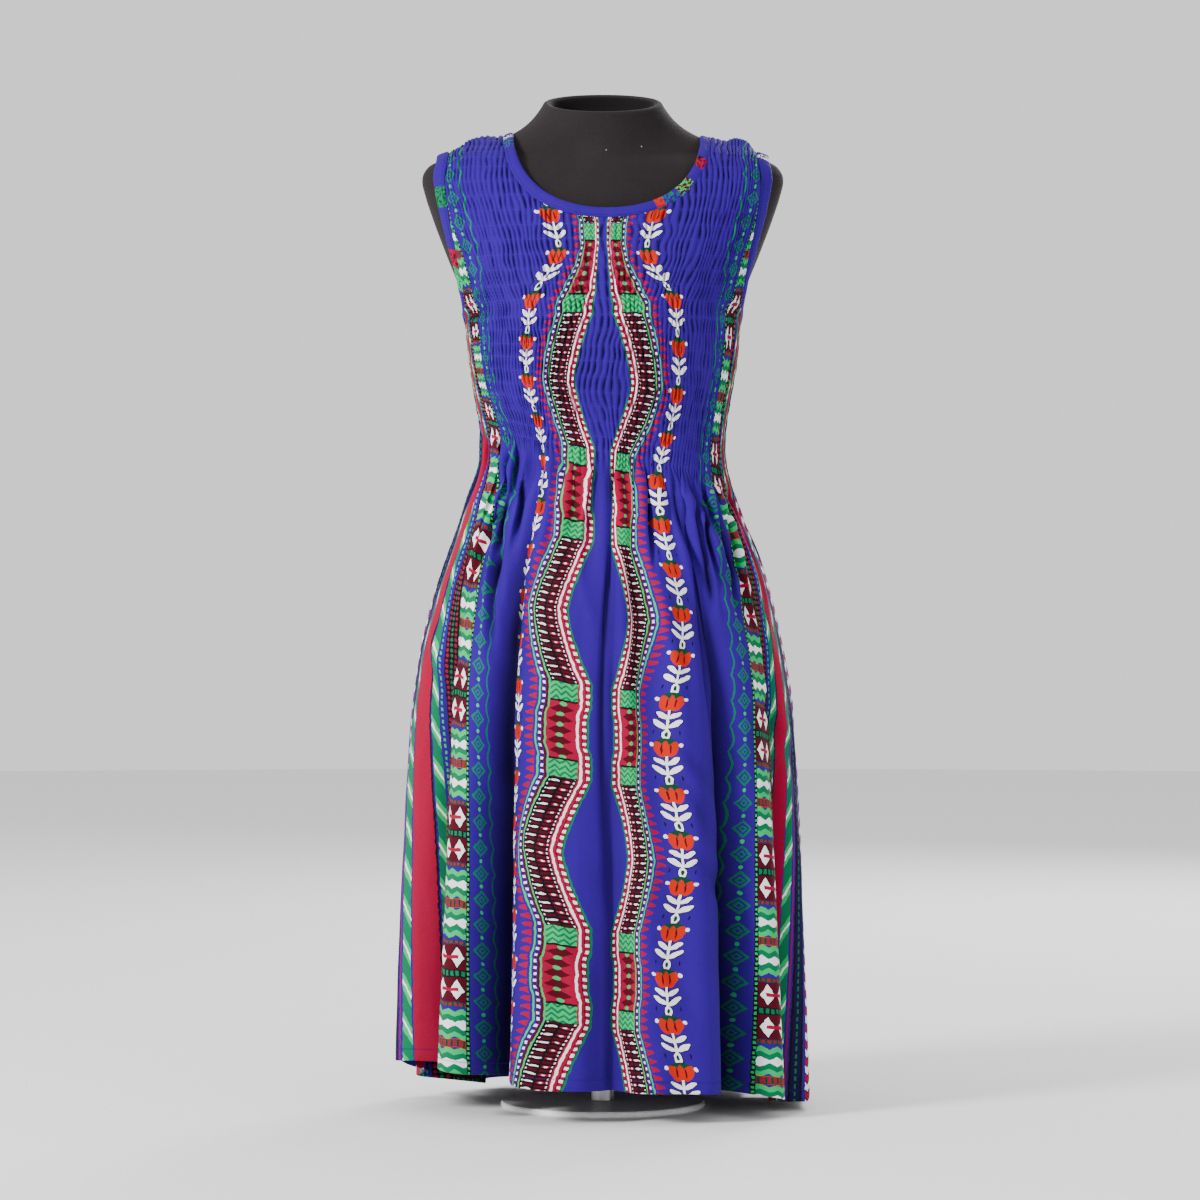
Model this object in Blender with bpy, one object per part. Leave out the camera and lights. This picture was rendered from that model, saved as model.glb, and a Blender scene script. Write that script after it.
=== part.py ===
"""A sleeveless smocked dress of printed cotton, worn on a dress form with a pole and a round base.

Units are metres, +Z is up, the wearer faces -Y, and the origin is the middle of the base's underside.
Each cloth panel is one closed wall: its inner face follows the figure, and its outer face carries the
smocking ribs, the gathers and the skirt folds. Run with: blender --background --python part.py
"""

import bisect
import functools
import math

import bmesh
import bpy
import numpy as np
from mathutils import Vector
from mathutils.bvhtree import BVHTree

# ---------------------------------------------------------------- driving sizes
CLOTH = 0.0023           # wall of the cloth, with the gathers' own thickness in it
SEAM = 0.00018           # half of the gap that two sewn pieces keep
EASE = 0.0028            # what the cloth's rows and columns stand off the form's true curve
ARM_EASE = 0.0024        # and what it stands further off beside the armholes
FULLNESS = 2.2           # exponent of the figure's rounded cross sections

CHEST_Z = 0.845          # level of the lowest point of the armholes' sewn edge
TIP_X = 0.165            # shoulder's sewn end, before the armhole binding
NECK_HALF = 0.1095       # half width of the sewn neckline at the shoulder seams
NECK_SHIFT = 0.0045      # the neckline hangs this far towards the wearer's left
NECK_ROUND = 2.2         # exponent of the U of the neckline
NECK_SHARE = 0.6875      # share of a panel's columns that end at the neckline
NECK_DEPTH = {"front": 0.092, "back": 0.042}
ARMHOLE_HALF = 0.0515    # half width of the sewn armhole, front to back
ARM_TOP_SHARE = 0.45     # drop of the armhole's upper end for each step in from its edge
BINDING = 0.0105         # width of the neck and armhole bindings
BINDING_WALL = 0.0034
BINDING_SIT = 0.0008     # what a binding's free edge lies closer to the form

RIBS = 64                # smocking ribs across one panel
RIB_RISE = 0.0015
GATHERS = 12             # small gathers across one panel below the smocking
GATHER_RISE = 0.0028

INNER_COLUMNS = 36       # of a panel's inner face over the bodice
SKIRT_COLUMNS = 48
YOKE_ROWS = 10           # shoulder to chest
BODICE_ROWS = 4          # chest to the end of the smocking
SKIRT_ROWS = 10          # smocking to hem
FORM_COLUMNS = 40
CORE_Z = 0.965           # height inside the shoulders that the yoke's rows spread from

FORM_FOOT_Z = 0.400
NECK_TOP_Z = 1.081
NECK_TILT = 0.28         # slope of the neck's top, lower in front
NECK_TILT_FROM_Z = 1.043
POLE_RADIUS = 0.0125
BASE_RADIUS = 0.110
BASE_WALL = 0.006
GAP = 0.0003             # between the pole and what it meets

# ---------------------------------------------------------------- tables of sections
# The form: height, half width, depth in front of the side plane, depth behind it, and the exponent
# of the rounded section (2 is an ellipse, less is more pointed at the shoulders).
FORM = (
    (0.400, 0.158, 0.106, 0.112, 2.2),
    (0.440, 0.166, 0.112, 0.120, 2.2),
    (0.500, 0.166, 0.113, 0.121, 2.2),
    (0.560, 0.157, 0.107, 0.111, 2.2),
    (0.620, 0.141, 0.098, 0.097, 2.2),
    (0.700, 0.1215, 0.089, 0.084, 2.2),
    (0.760, 0.1285, 0.101, 0.090, 2.2),
    (0.800, 0.1360, 0.118, 0.097, 2.2),
    (0.845, 0.1424, 0.133, 0.102, 2.2),
    (0.880, 0.1535, 0.128, 0.105, 2.2),
    (0.920, 0.1695, 0.114, 0.104, 2.2),
    (0.960, 0.1845, 0.101, 0.100, 2.2),
    (0.985, 0.1925, 0.092, 0.094, 2.15),
    (0.997, 0.1950, 0.087, 0.090, 2.05),
    (1.008, 0.1925, 0.082, 0.0855, 1.9),
    (1.0165, 0.1840, 0.078, 0.082, 1.7),
    (1.023, 0.1680, 0.0755, 0.0795, 1.5),
    (1.030, 0.1470, 0.073, 0.077, 1.38),
    (1.037, 0.1220, 0.0705, 0.074, 1.38),
    (1.0425, 0.1020, 0.069, 0.071, 1.5),
    (1.048, 0.0910, 0.0675, 0.068, 1.8),
    (1.057, 0.0800, 0.066, 0.063, 2.0),
    (1.069, 0.0710, 0.065, 0.059, 2.1),
    (1.081, 0.0645, 0.064, 0.056, 2.1),
)
# The dress below the chest, on its inner face: height, half width, depth in front, depth behind.
DRESS = (
    (0.000, 0.2190, 0.182, 0.182),
    (0.152, 0.2160, 0.176, 0.175),
    (0.282, 0.2120, 0.168, 0.167),
    (0.368, 0.2075, 0.162, 0.160),
    (0.455, 0.1995, 0.153, 0.150),
    (0.520, 0.1870, 0.143, 0.139),
    (0.563, 0.1750, 0.134, 0.129),
    (0.606, 0.1595, 0.124, 0.118),
    (0.628, 0.1510, 0.118, 0.112),
    (0.650, 0.1425, 0.112, 0.106),
    (0.671, 0.1345, 0.107, 0.100),
    (0.692, 0.1295, 0.104, 0.096),
    (0.714, 0.1280, 0.103, 0.094),
    (0.735, 0.1295, 0.106, 0.0945),
    (0.757, 0.1330, 0.112, 0.096),
    (0.779, 0.1370, 0.120, 0.098),
    (0.800, 0.1405, 0.127, 0.100),
    (0.822, 0.1427, 0.1332, 0.1025),
    (0.845, 0.1445, 0.1351, 0.1041),
    (0.870, 0.1500, 0.1310, 0.1050),
)
# Where a panel's smocking ends and where its hem hangs: place across (-1 wearer's right seam, 0 middle,
# 1 wearer's left seam), smocking's end, front hem, back hem.
LEVELS = (
    (-1.00, 0.733, 0.050, 0.050),
    (-0.75, 0.730, 0.057, 0.026),
    (-0.50, 0.720, 0.053, 0.014),
    (-0.25, 0.710, 0.041, 0.012),
    (0.00, 0.700, 0.036, 0.012),
    (0.25, 0.690, 0.034, 0.012),
    (0.50, 0.680, 0.028, 0.011),
    (0.75, 0.670, 0.014, 0.008),
    (1.00, 0.664, 0.008, 0.008),
)
# The skirt's large folds: place across at the hem, half width, rise at the hem (below zero is a valley),
# how far down the skirt it starts, drift of its top towards the middle.
FOLDS = {
    "front": (
        (-0.86, 0.075, 0.009, 0.15, 0.04),
        (-0.66, 0.085, -0.024, 0.12, 0.05),
        (-0.50, 0.080, 0.011, 0.10, 0.03),
        (-0.345, 0.066, -0.038, 0.04, 0.02),
        (-0.19, 0.080, 0.010, 0.08, 0.02),
        (0.02, 0.045, -0.018, 0.00, 0.00),
        (0.13, 0.070, 0.006, 0.10, -0.01),
        (0.31, 0.090, 0.012, 0.05, -0.03),
        (0.44, 0.066, -0.038, 0.06, -0.04),
        (0.59, 0.080, 0.010, 0.12, -0.05),
        (0.76, 0.075, -0.024, 0.12, -0.05),
        (0.89, 0.060, 0.009, 0.20, -0.04),
    ),
    "back": (
        (-0.84, 0.080, -0.018, 0.15, 0.05),
        (-0.68, 0.080, 0.011, 0.10, 0.04),
        (-0.50, 0.080, -0.032, 0.08, 0.04),
        (-0.31, 0.085, 0.011, 0.12, 0.02),
        (-0.12, 0.068, -0.026, 0.05, 0.01),
        (0.05, 0.075, 0.009, 0.10, 0.00),
        (0.23, 0.075, -0.034, 0.06, -0.02),
        (0.41, 0.085, 0.012, 0.08, -0.03),
        (0.61, 0.080, -0.026, 0.10, -0.04),
        (0.80, 0.080, 0.010, 0.12, -0.05),
    ),
}
# Colour, roughness and metallic value of each material.
FINISHES = {
    "print_cotton": ((0.035, 0.030, 0.480), 0.75, 0.0),
    "binding_cotton": ((0.045, 0.040, 0.560), 0.72, 0.0),
    "black_jersey": ((0.016, 0.012, 0.013), 0.92, 0.0),
    "steel": ((0.55, 0.55, 0.56), 0.32, 1.0),
    "white_enamel": ((0.80, 0.80, 0.79), 0.40, 0.0),
}


# ---------------------------------------------------------------- small tools
def mix(a, b, share):
    return a + (b - a) * share


def smooth_step(x):
    x = min(max(x, 0.0), 1.0)
    return x * x * (3 - 2 * x)


def curve_through(table):
    """A smooth function of a table's first column that gives its other columns."""
    rows = np.array(table, float)
    at, values = rows[:, 0], rows[:, 1:]
    rate = np.gradient(values, at, axis=0)
    step = np.diff(values, axis=0) / np.diff(at)[:, None]
    turning = np.zeros_like(values, bool)
    turning[1:-1] = step[1:] * step[:-1] <= 0
    rate[turning] = 0.0
    columns = list(zip(values.T.tolist(), rate.T.tolist()))
    at = at.tolist()

    def value(x):
        x = min(max(x, at[0]), at[-1])
        i = min(bisect.bisect_right(at, x) - 1, len(at) - 2)
        width = at[i + 1] - at[i]
        t = (x - at[i]) / width
        start, end = 2 * t**3 - 3 * t**2 + 1, 3 * t**2 - 2 * t**3
        leave, arrive = width * (t**3 - 2 * t**2 + t), width * (t**3 - t**2)
        return [
            v[i] * start + v[i + 1] * end + r[i] * leave + r[i + 1] * arrive for v, r in columns
        ]

    return value


form_sizes = curve_through(FORM)
dress_lines = curve_through(DRESS)
levels_at = curve_through(LEVELS)


def dress_sizes(height):
    return [*dress_lines(height), FULLNESS]


def section_point(sizes, height, angle):
    """A point of a cross section: angle 0 is the middle front, 90 degrees the wearer's left side."""
    half_width, front, back, fullness = sizes
    across, ahead = math.sin(angle), math.cos(angle)
    power = 2 / fullness
    depth = front if ahead > 0 else back
    return np.array(
        (
            half_width * math.copysign(abs(across) ** power, across),
            -depth * math.copysign(abs(ahead) ** power, ahead),
            height,
        )
    )


def unit(v):
    return v / max(np.linalg.norm(v), 1e-12)


def form_point(height, angle):
    return section_point(form_sizes(height), height, angle)


def form_normal(height, angle):
    """Outward direction of the form's surface."""
    turn, rise = 1e-3, 2e-4
    along = form_point(height, angle + turn) - form_point(height, angle - turn)
    up = form_point(height + rise, angle) - form_point(height - rise, angle)
    return unit(np.cross(along, up))


def ridge_height(half_width):
    """Height of the shoulder line at a distance from the middle."""
    heights = np.linspace(0.997, NECK_TOP_Z, 400)
    widths = np.array([form_sizes(z)[0] for z in heights])
    return float(np.interp(half_width, widths[::-1], heights[::-1]))


# ---------------------------------------------------------------- the surface that the cloth follows
TIP_Z = ridge_height(TIP_X)
NECK_Z = ridge_height(NECK_HALF)


def yoke_skin():
    """The form's surface from below the chest to the neck, as a fine net to measure from."""
    heights = np.linspace(CHEST_Z - 0.02, 1.058, 150)
    turns = [2 * math.pi * i / 240 for i in range(241)]
    points = [form_point(z, turn) for z in heights for turn in turns]
    wide = len(turns)
    cells = [
        (i * wide + j, i * wide + j + 1, i * wide + wide + j + 1, i * wide + wide + j)
        for i in range(len(heights) - 1)
        for j in range(wide - 1)
    ]
    return BVHTree.FromPolygons(points, cells)


YOKE_SKIN = yoke_skin()


def power_curve(turn, exponent):
    """Sine and cosine shares of a rounded quarter."""
    return abs(math.sin(turn)) ** (2 / exponent), abs(math.cos(turn)) ** (2 / exponent)


def facing(side, angle):
    """An angle from the middle front, turned round to the middle back for the back panel."""
    return angle if side == "front" else math.pi - angle


def angle_of(sizes, x):
    """The angle at which a section reaches a distance from the middle."""
    share = min(abs(x) / sizes[0], 1.0)
    return math.copysign(math.asin(share ** (sizes[3] / 2)), x)


def neckline_place(side, hand, turn, inset=0.0):
    """Front view place on the neckline: turn 0 is the middle, 90 degrees the shoulder seam."""
    x_share, z_share = power_curve(turn, NECK_ROUND)
    x = (NECK_HALF - inset) * x_share
    end_z = ridge_height(NECK_HALF - inset + hand * NECK_SHIFT)
    return hand * x + NECK_SHIFT, mix(end_z, NECK_Z - NECK_DEPTH[side] + inset, z_share)


@functools.lru_cache(maxsize=None)
def neckline_steps(side, hand):
    """Turns along half of the neckline and the share of its length that each one has reached."""
    turns = np.linspace(0, math.pi / 2, 121)
    places = [neckline_place(side, hand, turn) for turn in turns]
    points = np.array([form_point(z, facing(side, angle_of(form_sizes(z), x))) for x, z in places])
    reached = np.concatenate(((0,), np.cumsum(np.linalg.norm(np.diff(points, axis=0), axis=1))))
    return turns, reached / reached[-1]


def column_top(side, across, inset=0.0):
    """Front view place of a column's top: on the neckline, or on the shoulder seam beyond it."""
    reach, hand = abs(across) / NECK_SHARE, math.copysign(1.0, across)
    if reach <= 1:
        turns, reached = neckline_steps(side, hand)
        return neckline_place(side, hand, np.interp(reach, reached, turns), inset)
    beyond = (reach - 1) * NECK_SHARE / (1 - NECK_SHARE)
    x = hand * mix(NECK_HALF, TIP_X, beyond) + NECK_SHIFT * (1 - beyond)
    return x, ridge_height(abs(x))


def armhole_span(inset=0.0):
    """Middle height and half of the height of the armhole's edge, at a distance in."""
    low, high = CHEST_Z + inset, TIP_Z - ARM_TOP_SHARE * inset
    return (low + high) / 2, (high - low) / 2


def armhole_angle(side, height, inset=0.0):
    """Where the armhole's edge crosses a height: 90 degrees at the underarm and at the shoulder."""
    middle, half = armhole_span(inset)
    if not middle - half < height < middle + half:
        return math.pi / 2
    level = (height - middle) / half
    sizes = form_sizes(height)
    depth = sizes[1] if side == "front" else sizes[2]
    ahead = (ARMHOLE_HALF - inset) * math.sqrt(1 - level * level) / depth
    return math.acos(min(ahead, 1.0) ** (sizes[3] / 2))


def place_on_form(point, core_z):
    """Height and angle on the form, straight out past a point from a height on the side plane."""
    core = Vector((point[0], 0.0, core_z))
    x, y, z = YOKE_SKIN.ray_cast(core, Vector(point) - core)[0]
    half_width, front, back, fullness = form_sizes(z)
    across = (abs(x) / half_width) ** (fullness / 2)
    ahead = (abs(y) / (front if y < 0 else back)) ** (fullness / 2)
    angle = math.atan2(across, ahead)
    return z, math.copysign(facing("front" if y < 0 else "back", angle), x)


def top_place(side, across):
    """Height and angle of a column's top."""
    x, z = column_top(side, across)
    if abs(across) >= NECK_SHARE:
        return z, facing(side, math.copysign(math.pi / 2, across))
    return z, facing(side, angle_of(form_sizes(z), x))


def armhole_place(side, hand, rise):
    """Height and angle on the armhole's edge, from the underarm (rise 0) to the shoulder (1)."""
    middle, half = armhole_span()
    height = middle - half * math.cos(math.pi * rise)
    return height, facing(side, hand * armhole_angle(side, height))


@functools.lru_cache(maxsize=None)
def yoke_place(side, across, level):
    """Height and angle of the cloth between shoulder (level 0) and chest (level 1)."""
    rise, reach = 1 - level, abs(across)
    hand = math.copysign(1.0, across)
    if level == 0:
        return top_place(side, across)
    if reach > 0.9999:
        return armhole_place(side, hand, rise)
    lift = 1 - level**1.25
    chest = [form_point(CHEST_Z, facing(side, math.pi / 2 * hand * u)) for u in (0, 1)]
    top = [form_point(*top_place(side, hand * u)) for u in (1e-9, 1)]
    below = form_point(CHEST_Z, facing(side, math.pi / 2 * across))
    above = form_point(*top_place(side, across))
    middle = form_point(mix(CHEST_Z, top[0][2], lift), facing(side, 0.0))
    edge = form_point(*armhole_place(side, hand, rise))
    corners = mix(mix(chest[0], top[0], lift), mix(chest[1], top[1], lift), reach)
    patch = mix(below, above, lift) + mix(middle, edge, reach) - corners
    return place_on_form(patch, mix(mix(CHEST_Z, CORE_Z, lift), patch[2], reach**4))


def fold_rise(side, across, down):
    """Rise of the skirt's folds and gathers at a share of the way from smocking to hem."""
    total = 0.0
    for place, half, rise, start, drift in FOLDS[side]:
        middle = place + drift * (1 - down) * 2
        grow = smooth_step((down - start) / (1.02 - start)) ** 0.8 if down > start else 0.0
        off = (across - middle) / (half * mix(0.8, 1.15, down))
        total += rise * grow * math.exp(-off * off)
    fade = math.exp(-((down - 0.06) / 0.10) ** 2)
    total += GATHER_RISE * fade * math.cos(2 * math.pi * GATHERS * across)
    return total * (1 - abs(across) ** 10)


def trunk_point(side, across, level):
    """The cloth below the chest: bodice for level 1 to 2, skirt for level 2 to 3."""
    smock_z, front_hem, back_hem = levels_at(across)
    hem_z = front_hem if side == "front" else back_hem
    if level <= 2:
        height = mix(CHEST_Z, smock_z, level - 1)
    else:
        height = mix(smock_z, hem_z, level - 2)
    angle = facing(side, math.pi / 2 * across)
    point = section_point(dress_sizes(height), height, angle)
    if level > 2:
        outward = unit(np.array((point[0], point[1] * 1.4, 0.0)))
        point = point + outward * fold_rise(side, across, level - 2)
    return point


def cloth_point(side, across, level):
    """A point of the cloth's inner face."""
    if level <= 1:
        height, angle = yoke_place(side, across, level)
        beside = 4 * across**8 * (1 - across**8) * math.sin(math.pi * level)
        return form_point(height, angle) + (EASE + ARM_EASE * beside) * form_normal(height, angle)
    return trunk_point(side, across, level)


def on_seam(across, level):
    """Whether a point lies on a side seam or a shoulder seam."""
    return abs(across) > 0.9999 and level >= 1 or level == 0 and abs(across) >= NECK_SHARE


def cloth_normal(side, across, level):
    """Outward direction of the cloth, kept in the seam's own plane on a seam."""
    if level <= 1:
        normal = form_normal(*yoke_place(side, across, level))
    else:
        step, drop = 0.008, 0.02
        left, right = max(across - step, -1.0), min(across + step, 1.0)
        above, below = max(level - drop, 1.0), min(level + drop, 3.0)
        along = cloth_point(side, right, level) - cloth_point(side, left, level)
        down = cloth_point(side, across, below) - cloth_point(side, across, above)
        normal = np.cross(down, along) if side == "front" else np.cross(along, down)
    if on_seam(across, level):
        normal[1] = 0.0
    return unit(normal)


def rib_rise(across, level):
    """Height of the smocking ribs over the wall."""
    if not 0 < level < 2.3 or abs(across) > 0.999:
        return 0.0
    fade = 1 - smooth_step((level - 2.0) / 0.3)
    stretch = 0.80 + 0.20 * math.sin(7.0 * level + 5.0 * across)
    wave = 0.5 + 0.5 * math.cos(2 * math.pi * RIBS * (across + 1) / 2)
    return RIB_RISE * wave * fade * stretch


def wall_point(side, across, level, out, ribs):
    """A point of the panel's wall, moved back from its seams."""
    rise = out + (rib_rise(across, level) if ribs else 0.0)
    point = cloth_point(side, across, level) + cloth_normal(side, across, level) * rise
    if on_seam(across, level):
        point[1] += SEAM if side == "back" else -SEAM
    return point


# ---------------------------------------------------------------- meshes
def zip_rows(bm, first, second):
    """Faces between two rows of vertices that run the same way, whatever their counts."""
    i, j = 0, 0
    last_i, last_j = len(first) - 1, len(second) - 1
    while i < last_i or j < last_j:
        next_i = (i + 1) / last_i if i < last_i else 2.0
        next_j = (j + 1) / last_j if j < last_j else 2.0
        if abs(next_i - next_j) < 1e-9:
            bm.faces.new((first[i], first[i + 1], second[j + 1], second[j]))
            i, j = i + 1, j + 1
        elif next_i < next_j:
            bm.faces.new((first[i], first[i + 1], second[j]))
            i += 1
        else:
            bm.faces.new((first[i], second[j + 1], second[j]))
            j += 1


def finish_mesh(name, bm, finish, smooth_below=35):
    """Turns a bmesh into a named object with its material."""
    bmesh.ops.triangulate(bm, faces=bm.faces, quad_method="SHORT_EDGE")
    bmesh.ops.recalc_face_normals(bm, faces=bm.faces)
    mesh = bpy.data.meshes.new(name)
    bm.to_mesh(mesh)
    bm.free()
    mesh.shade_smooth()
    mesh.set_sharp_from_angle(angle=math.radians(smooth_below))
    mesh.materials.append(MATERIALS[finish])
    made = bpy.data.objects.new(name, mesh)
    bpy.context.scene.collection.objects.link(made)
    return made


def make_material(name):
    colour, roughness, metallic = FINISHES[name]
    material = bpy.data.materials.new(name)
    material.use_nodes = True
    shader = material.node_tree.nodes["Principled BSDF"]
    shader.inputs["Base Color"].default_value = (*colour, 1.0)
    shader.inputs["Roughness"].default_value = roughness
    shader.inputs["Metallic"].default_value = metallic
    return material


def panel_levels():
    """The panel's rows, from shoulder to hem, each with whether it belongs to the smocked part."""
    yoke = [(i / YOKE_ROWS, True) for i in range(YOKE_ROWS)]
    bodice = [(1 + i / BODICE_ROWS, True) for i in range(BODICE_ROWS + 1)]
    skirt = [(2 + (i + 0.6) / (SKIRT_ROWS - 0.4), False) for i in range(SKIRT_ROWS)]
    return yoke + bodice + skirt


def make_panel(name, side):
    """Front or back panel: an outer face with ribs, an inner face, and the cut edges between them."""
    bm = bmesh.new()

    def face_row(level, columns, out, ribs):
        places = [-1 + 2 * i / columns for i in range(columns + 1)]
        return [bm.verts.new(wall_point(side, s, level, out, ribs)) for s in places]

    outer, inner = [face_row(0, RIBS, CLOTH, False)], [face_row(0, RIBS, 0.0, False)]
    for level, smocked in panel_levels()[1:]:
        outer.append(face_row(level, 2 * RIBS if smocked else SKIRT_COLUMNS, CLOTH, True))
        inner.append(face_row(level, INNER_COLUMNS if smocked else SKIRT_COLUMNS, 0.0, False))
    for rows in (outer, inner):
        for above, below in zip(rows, rows[1:]):
            zip_rows(bm, above, below)
    zip_rows(bm, outer[0], inner[0])
    zip_rows(bm, outer[-1], inner[-1])
    for end in (0, -1):
        zip_rows(bm, [row[end] for row in outer], [row[end] for row in inner])
    return finish_mesh(name, bm, "print_cotton", smooth_below=22)


def ring_of(bm, loops):
    """A closed ring swept through cross sections: loops holds one list of vertices for each corner."""
    count = len(loops[0])
    for here, there in zip(loops, loops[1:] + loops[:1]):
        for i in range(count):
            j = (i + 1) % count
            bm.faces.new((here[i], here[j], there[j], there[i]))


def binding_point(height, angle, out):
    """A point over the form, in the layer that the cloth's edge lies in."""
    return form_point(height, angle) + (EASE + out) * form_normal(height, angle)


def make_binding(name, edge_places):
    """A strip that folds over an edge; edge_places gives heights and angles at a distance in."""
    bm = bmesh.new()
    top = BINDING_WALL
    corners = ((2 * SEAM, 0.0), (2 * SEAM, top), (BINDING, top), (BINDING, -BINDING_SIT))
    ring_of(bm, [
        [bm.verts.new(binding_point(*at, out)) for at in edge_places(inset)] for inset, out in corners
    ])
    return finish_mesh(name, bm, "binding_cotton")


def neckline_places(inset):
    """The neckline's heights and angles, across the front and back round the back."""
    count = int(RIBS * NECK_SHARE)
    places = [NECK_SHARE * (2 * i / count - 1) for i in range(count + 1)]
    stations = [("front", s) for s in places] + [("back", s) for s in places[-2:0:-1]]
    found = []
    for side, across in stations:
        x, z = column_top(side, across, inset)
        angle = math.copysign(math.pi / 2, across)
        if abs(across) < NECK_SHARE:
            angle = angle_of(form_sizes(z), x)
        found.append((z, facing(side, angle)))
    return found


def armhole_places(hand):
    """A function for one armhole's heights and angles, from the underarm round by the front."""

    def places(inset):
        middle, half = armhole_span(inset)
        found = []
        for i in range(2 * YOKE_ROWS):
            turn = math.pi * i / YOKE_ROWS
            side = "front" if i <= YOKE_ROWS else "back"
            height = middle - half * math.cos(turn)
            found.append((height, facing(side, armhole_angle(side, height, inset)) * hand))
        return found

    return places


def tilted(point):
    """The neck leans its top forward: lower in front, higher behind."""
    lean = NECK_TILT * smooth_step((point[2] - NECK_TILT_FROM_Z) / (1.072 - NECK_TILT_FROM_Z))
    return point + np.array((0.0, 0.0, lean * point[1]))


def make_form():
    """The torso and neck of the dress form, with a dished top inside the neck's rim."""
    heights = list(np.linspace(FORM_FOOT_Z, 0.78, 6)) + [
        0.83, 0.86, 0.89, 0.92, 0.95, 0.975, 0.990, 1.001, 1.010, 1.017,
        1.023, 1.030, 1.035, 1.039, 1.0425, 1.0465, 1.052, 1.060, 1.070, NECK_TOP_Z,
    ]
    rim = ((0.0030, 0.0022), (0.0075, 0.0012), (0.0100, -0.0030), (0.0120, -0.0180))
    turns = [2 * math.pi * i / FORM_COLUMNS for i in range(FORM_COLUMNS)]
    rings = [[form_point(z, turn) for turn in turns] for z in heights]
    for inset, lift in rim:
        *sizes, fullness = form_sizes(NECK_TOP_Z)
        sizes = [size - inset for size in sizes] + [fullness]
        rings.append([section_point(sizes, NECK_TOP_Z + lift, turn) for turn in turns])
    bm = bmesh.new()
    made = [[bm.verts.new(tilted(p)) for p in ring] for ring in rings]
    for low, high in zip(made, made[1:]):
        for i in range(FORM_COLUMNS):
            j = (i + 1) % FORM_COLUMNS
            bm.faces.new((low[i], low[j], high[j], high[i]))
    bm.faces.new(made[0])
    bm.faces.new(made[-1])
    return finish_mesh("form_torso", bm, "black_jersey", smooth_below=50)


def make_turned(name, finish, radius, low, high, bevel, sides):
    """A plain disc or rod standing on the origin's axis."""
    bm = bmesh.new()
    bmesh.ops.create_cone(
        bm, cap_ends=True, segments=sides, radius1=radius, radius2=radius, depth=high - low
    )
    bmesh.ops.translate(bm, verts=bm.verts, vec=(0, 0, (high + low) / 2))
    made = finish_mesh(name, bm, finish)
    rounding = made.modifiers.new("edge", "BEVEL")
    rounding.width = bevel
    rounding.segments = 1
    rounding.limit_method = "ANGLE"
    return made


for old in list(bpy.data.objects):
    bpy.data.objects.remove(old)
MATERIALS = {name: make_material(name) for name in FINISHES}
make_panel("front_panel", "front")
make_panel("back_panel", "back")
make_binding("neck_binding", neckline_places)
make_binding("armhole_binding_left", armhole_places(1))
make_binding("armhole_binding_right", armhole_places(-1))
make_form()
make_turned("form_pole", "steel", POLE_RADIUS, BASE_WALL + GAP, FORM_FOOT_Z - GAP, 0.0008, 20)
make_turned("form_base", "white_enamel", BASE_RADIUS, 0.0, BASE_WALL, 0.0015, 40)
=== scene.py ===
"""The look of a smocked sleeveless dress of printed cotton on a dress form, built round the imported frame.

Units are metres, +Z is up, the wearer faces -Y. The cloth is a fine shell on the form of the packed
panels: shirring crinkles over the bodice, gathers and hanging folds over the skirt. The print is drawn
by shader nodes from a map of the flat cloth, in metres.
"""

import functools
import math
from collections import namedtuple

import bpy
import numpy as np
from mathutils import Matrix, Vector
from mathutils.bvhtree import BVHTree


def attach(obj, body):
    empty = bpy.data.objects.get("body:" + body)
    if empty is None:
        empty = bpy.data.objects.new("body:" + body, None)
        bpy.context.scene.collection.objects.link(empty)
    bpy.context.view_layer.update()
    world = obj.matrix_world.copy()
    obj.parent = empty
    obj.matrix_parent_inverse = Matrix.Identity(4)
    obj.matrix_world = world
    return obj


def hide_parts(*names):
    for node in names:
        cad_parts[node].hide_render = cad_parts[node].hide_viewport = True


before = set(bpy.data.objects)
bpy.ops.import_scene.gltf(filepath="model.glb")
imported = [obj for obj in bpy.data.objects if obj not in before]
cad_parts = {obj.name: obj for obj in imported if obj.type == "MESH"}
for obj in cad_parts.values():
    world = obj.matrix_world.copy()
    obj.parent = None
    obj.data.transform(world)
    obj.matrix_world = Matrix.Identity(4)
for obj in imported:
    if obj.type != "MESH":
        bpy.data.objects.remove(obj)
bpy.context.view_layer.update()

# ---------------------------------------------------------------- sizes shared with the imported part
EASE = 0.0028            # what the cloth stands off the form
ARM_EASE = 0.0024        # and what it stands further off beside the armholes
FULLNESS = 2.2           # exponent of the cloth's rounded sections, where 2 is an ellipse
CHEST_Z = 0.845          # level of the lowest point of the armholes
TIP_X = 0.165            # the shoulder's sewn end
NECK_HALF = 0.1095       # half width of the sewn neckline at the shoulder seams
NECK_SHIFT = 0.0045      # the neckline hangs this far towards the wearer's left
NECK_ROUND = 2.2         # exponent of the U of the neckline
NECK_SHARE = 0.6875      # share of a panel's half that ends at the neckline
NECK_DEPTH = {"front": 0.092, "back": 0.042}
ARMHOLE_HALF = 0.0550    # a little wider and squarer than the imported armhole, as the cloth pulls back
ARMHOLE_ROUND = 2.8
ARM_TOP_SHARE = 0.45     # drop of the armhole's upper end for each step in from its edge
TIP_FLAT_Z = 1.0         # above this height the armhole's edge keeps its distance from the middle
TIP_SPREAD = 1.14        # how much further out the binding's free edge lies there, for its width
BINDING = 0.0105         # width of the neck and armhole bindings
GATHERS = 12             # small gathers across a panel below the shirring
GATHER_RISE = 0.0028
CORE_Z = 0.965           # height inside the shoulders that the yoke's rows spread from
FORM_FOOT_Z = 0.400
SHOULDER_Z = 0.997       # where the form is widest
NECK_TOP_Z = 1.081
NECK_TILT = 0.28         # slope of the neck's top, lower in front
NECK_TILT_FROM_Z = {"front": 0.975, "back": 1.012}

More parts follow.
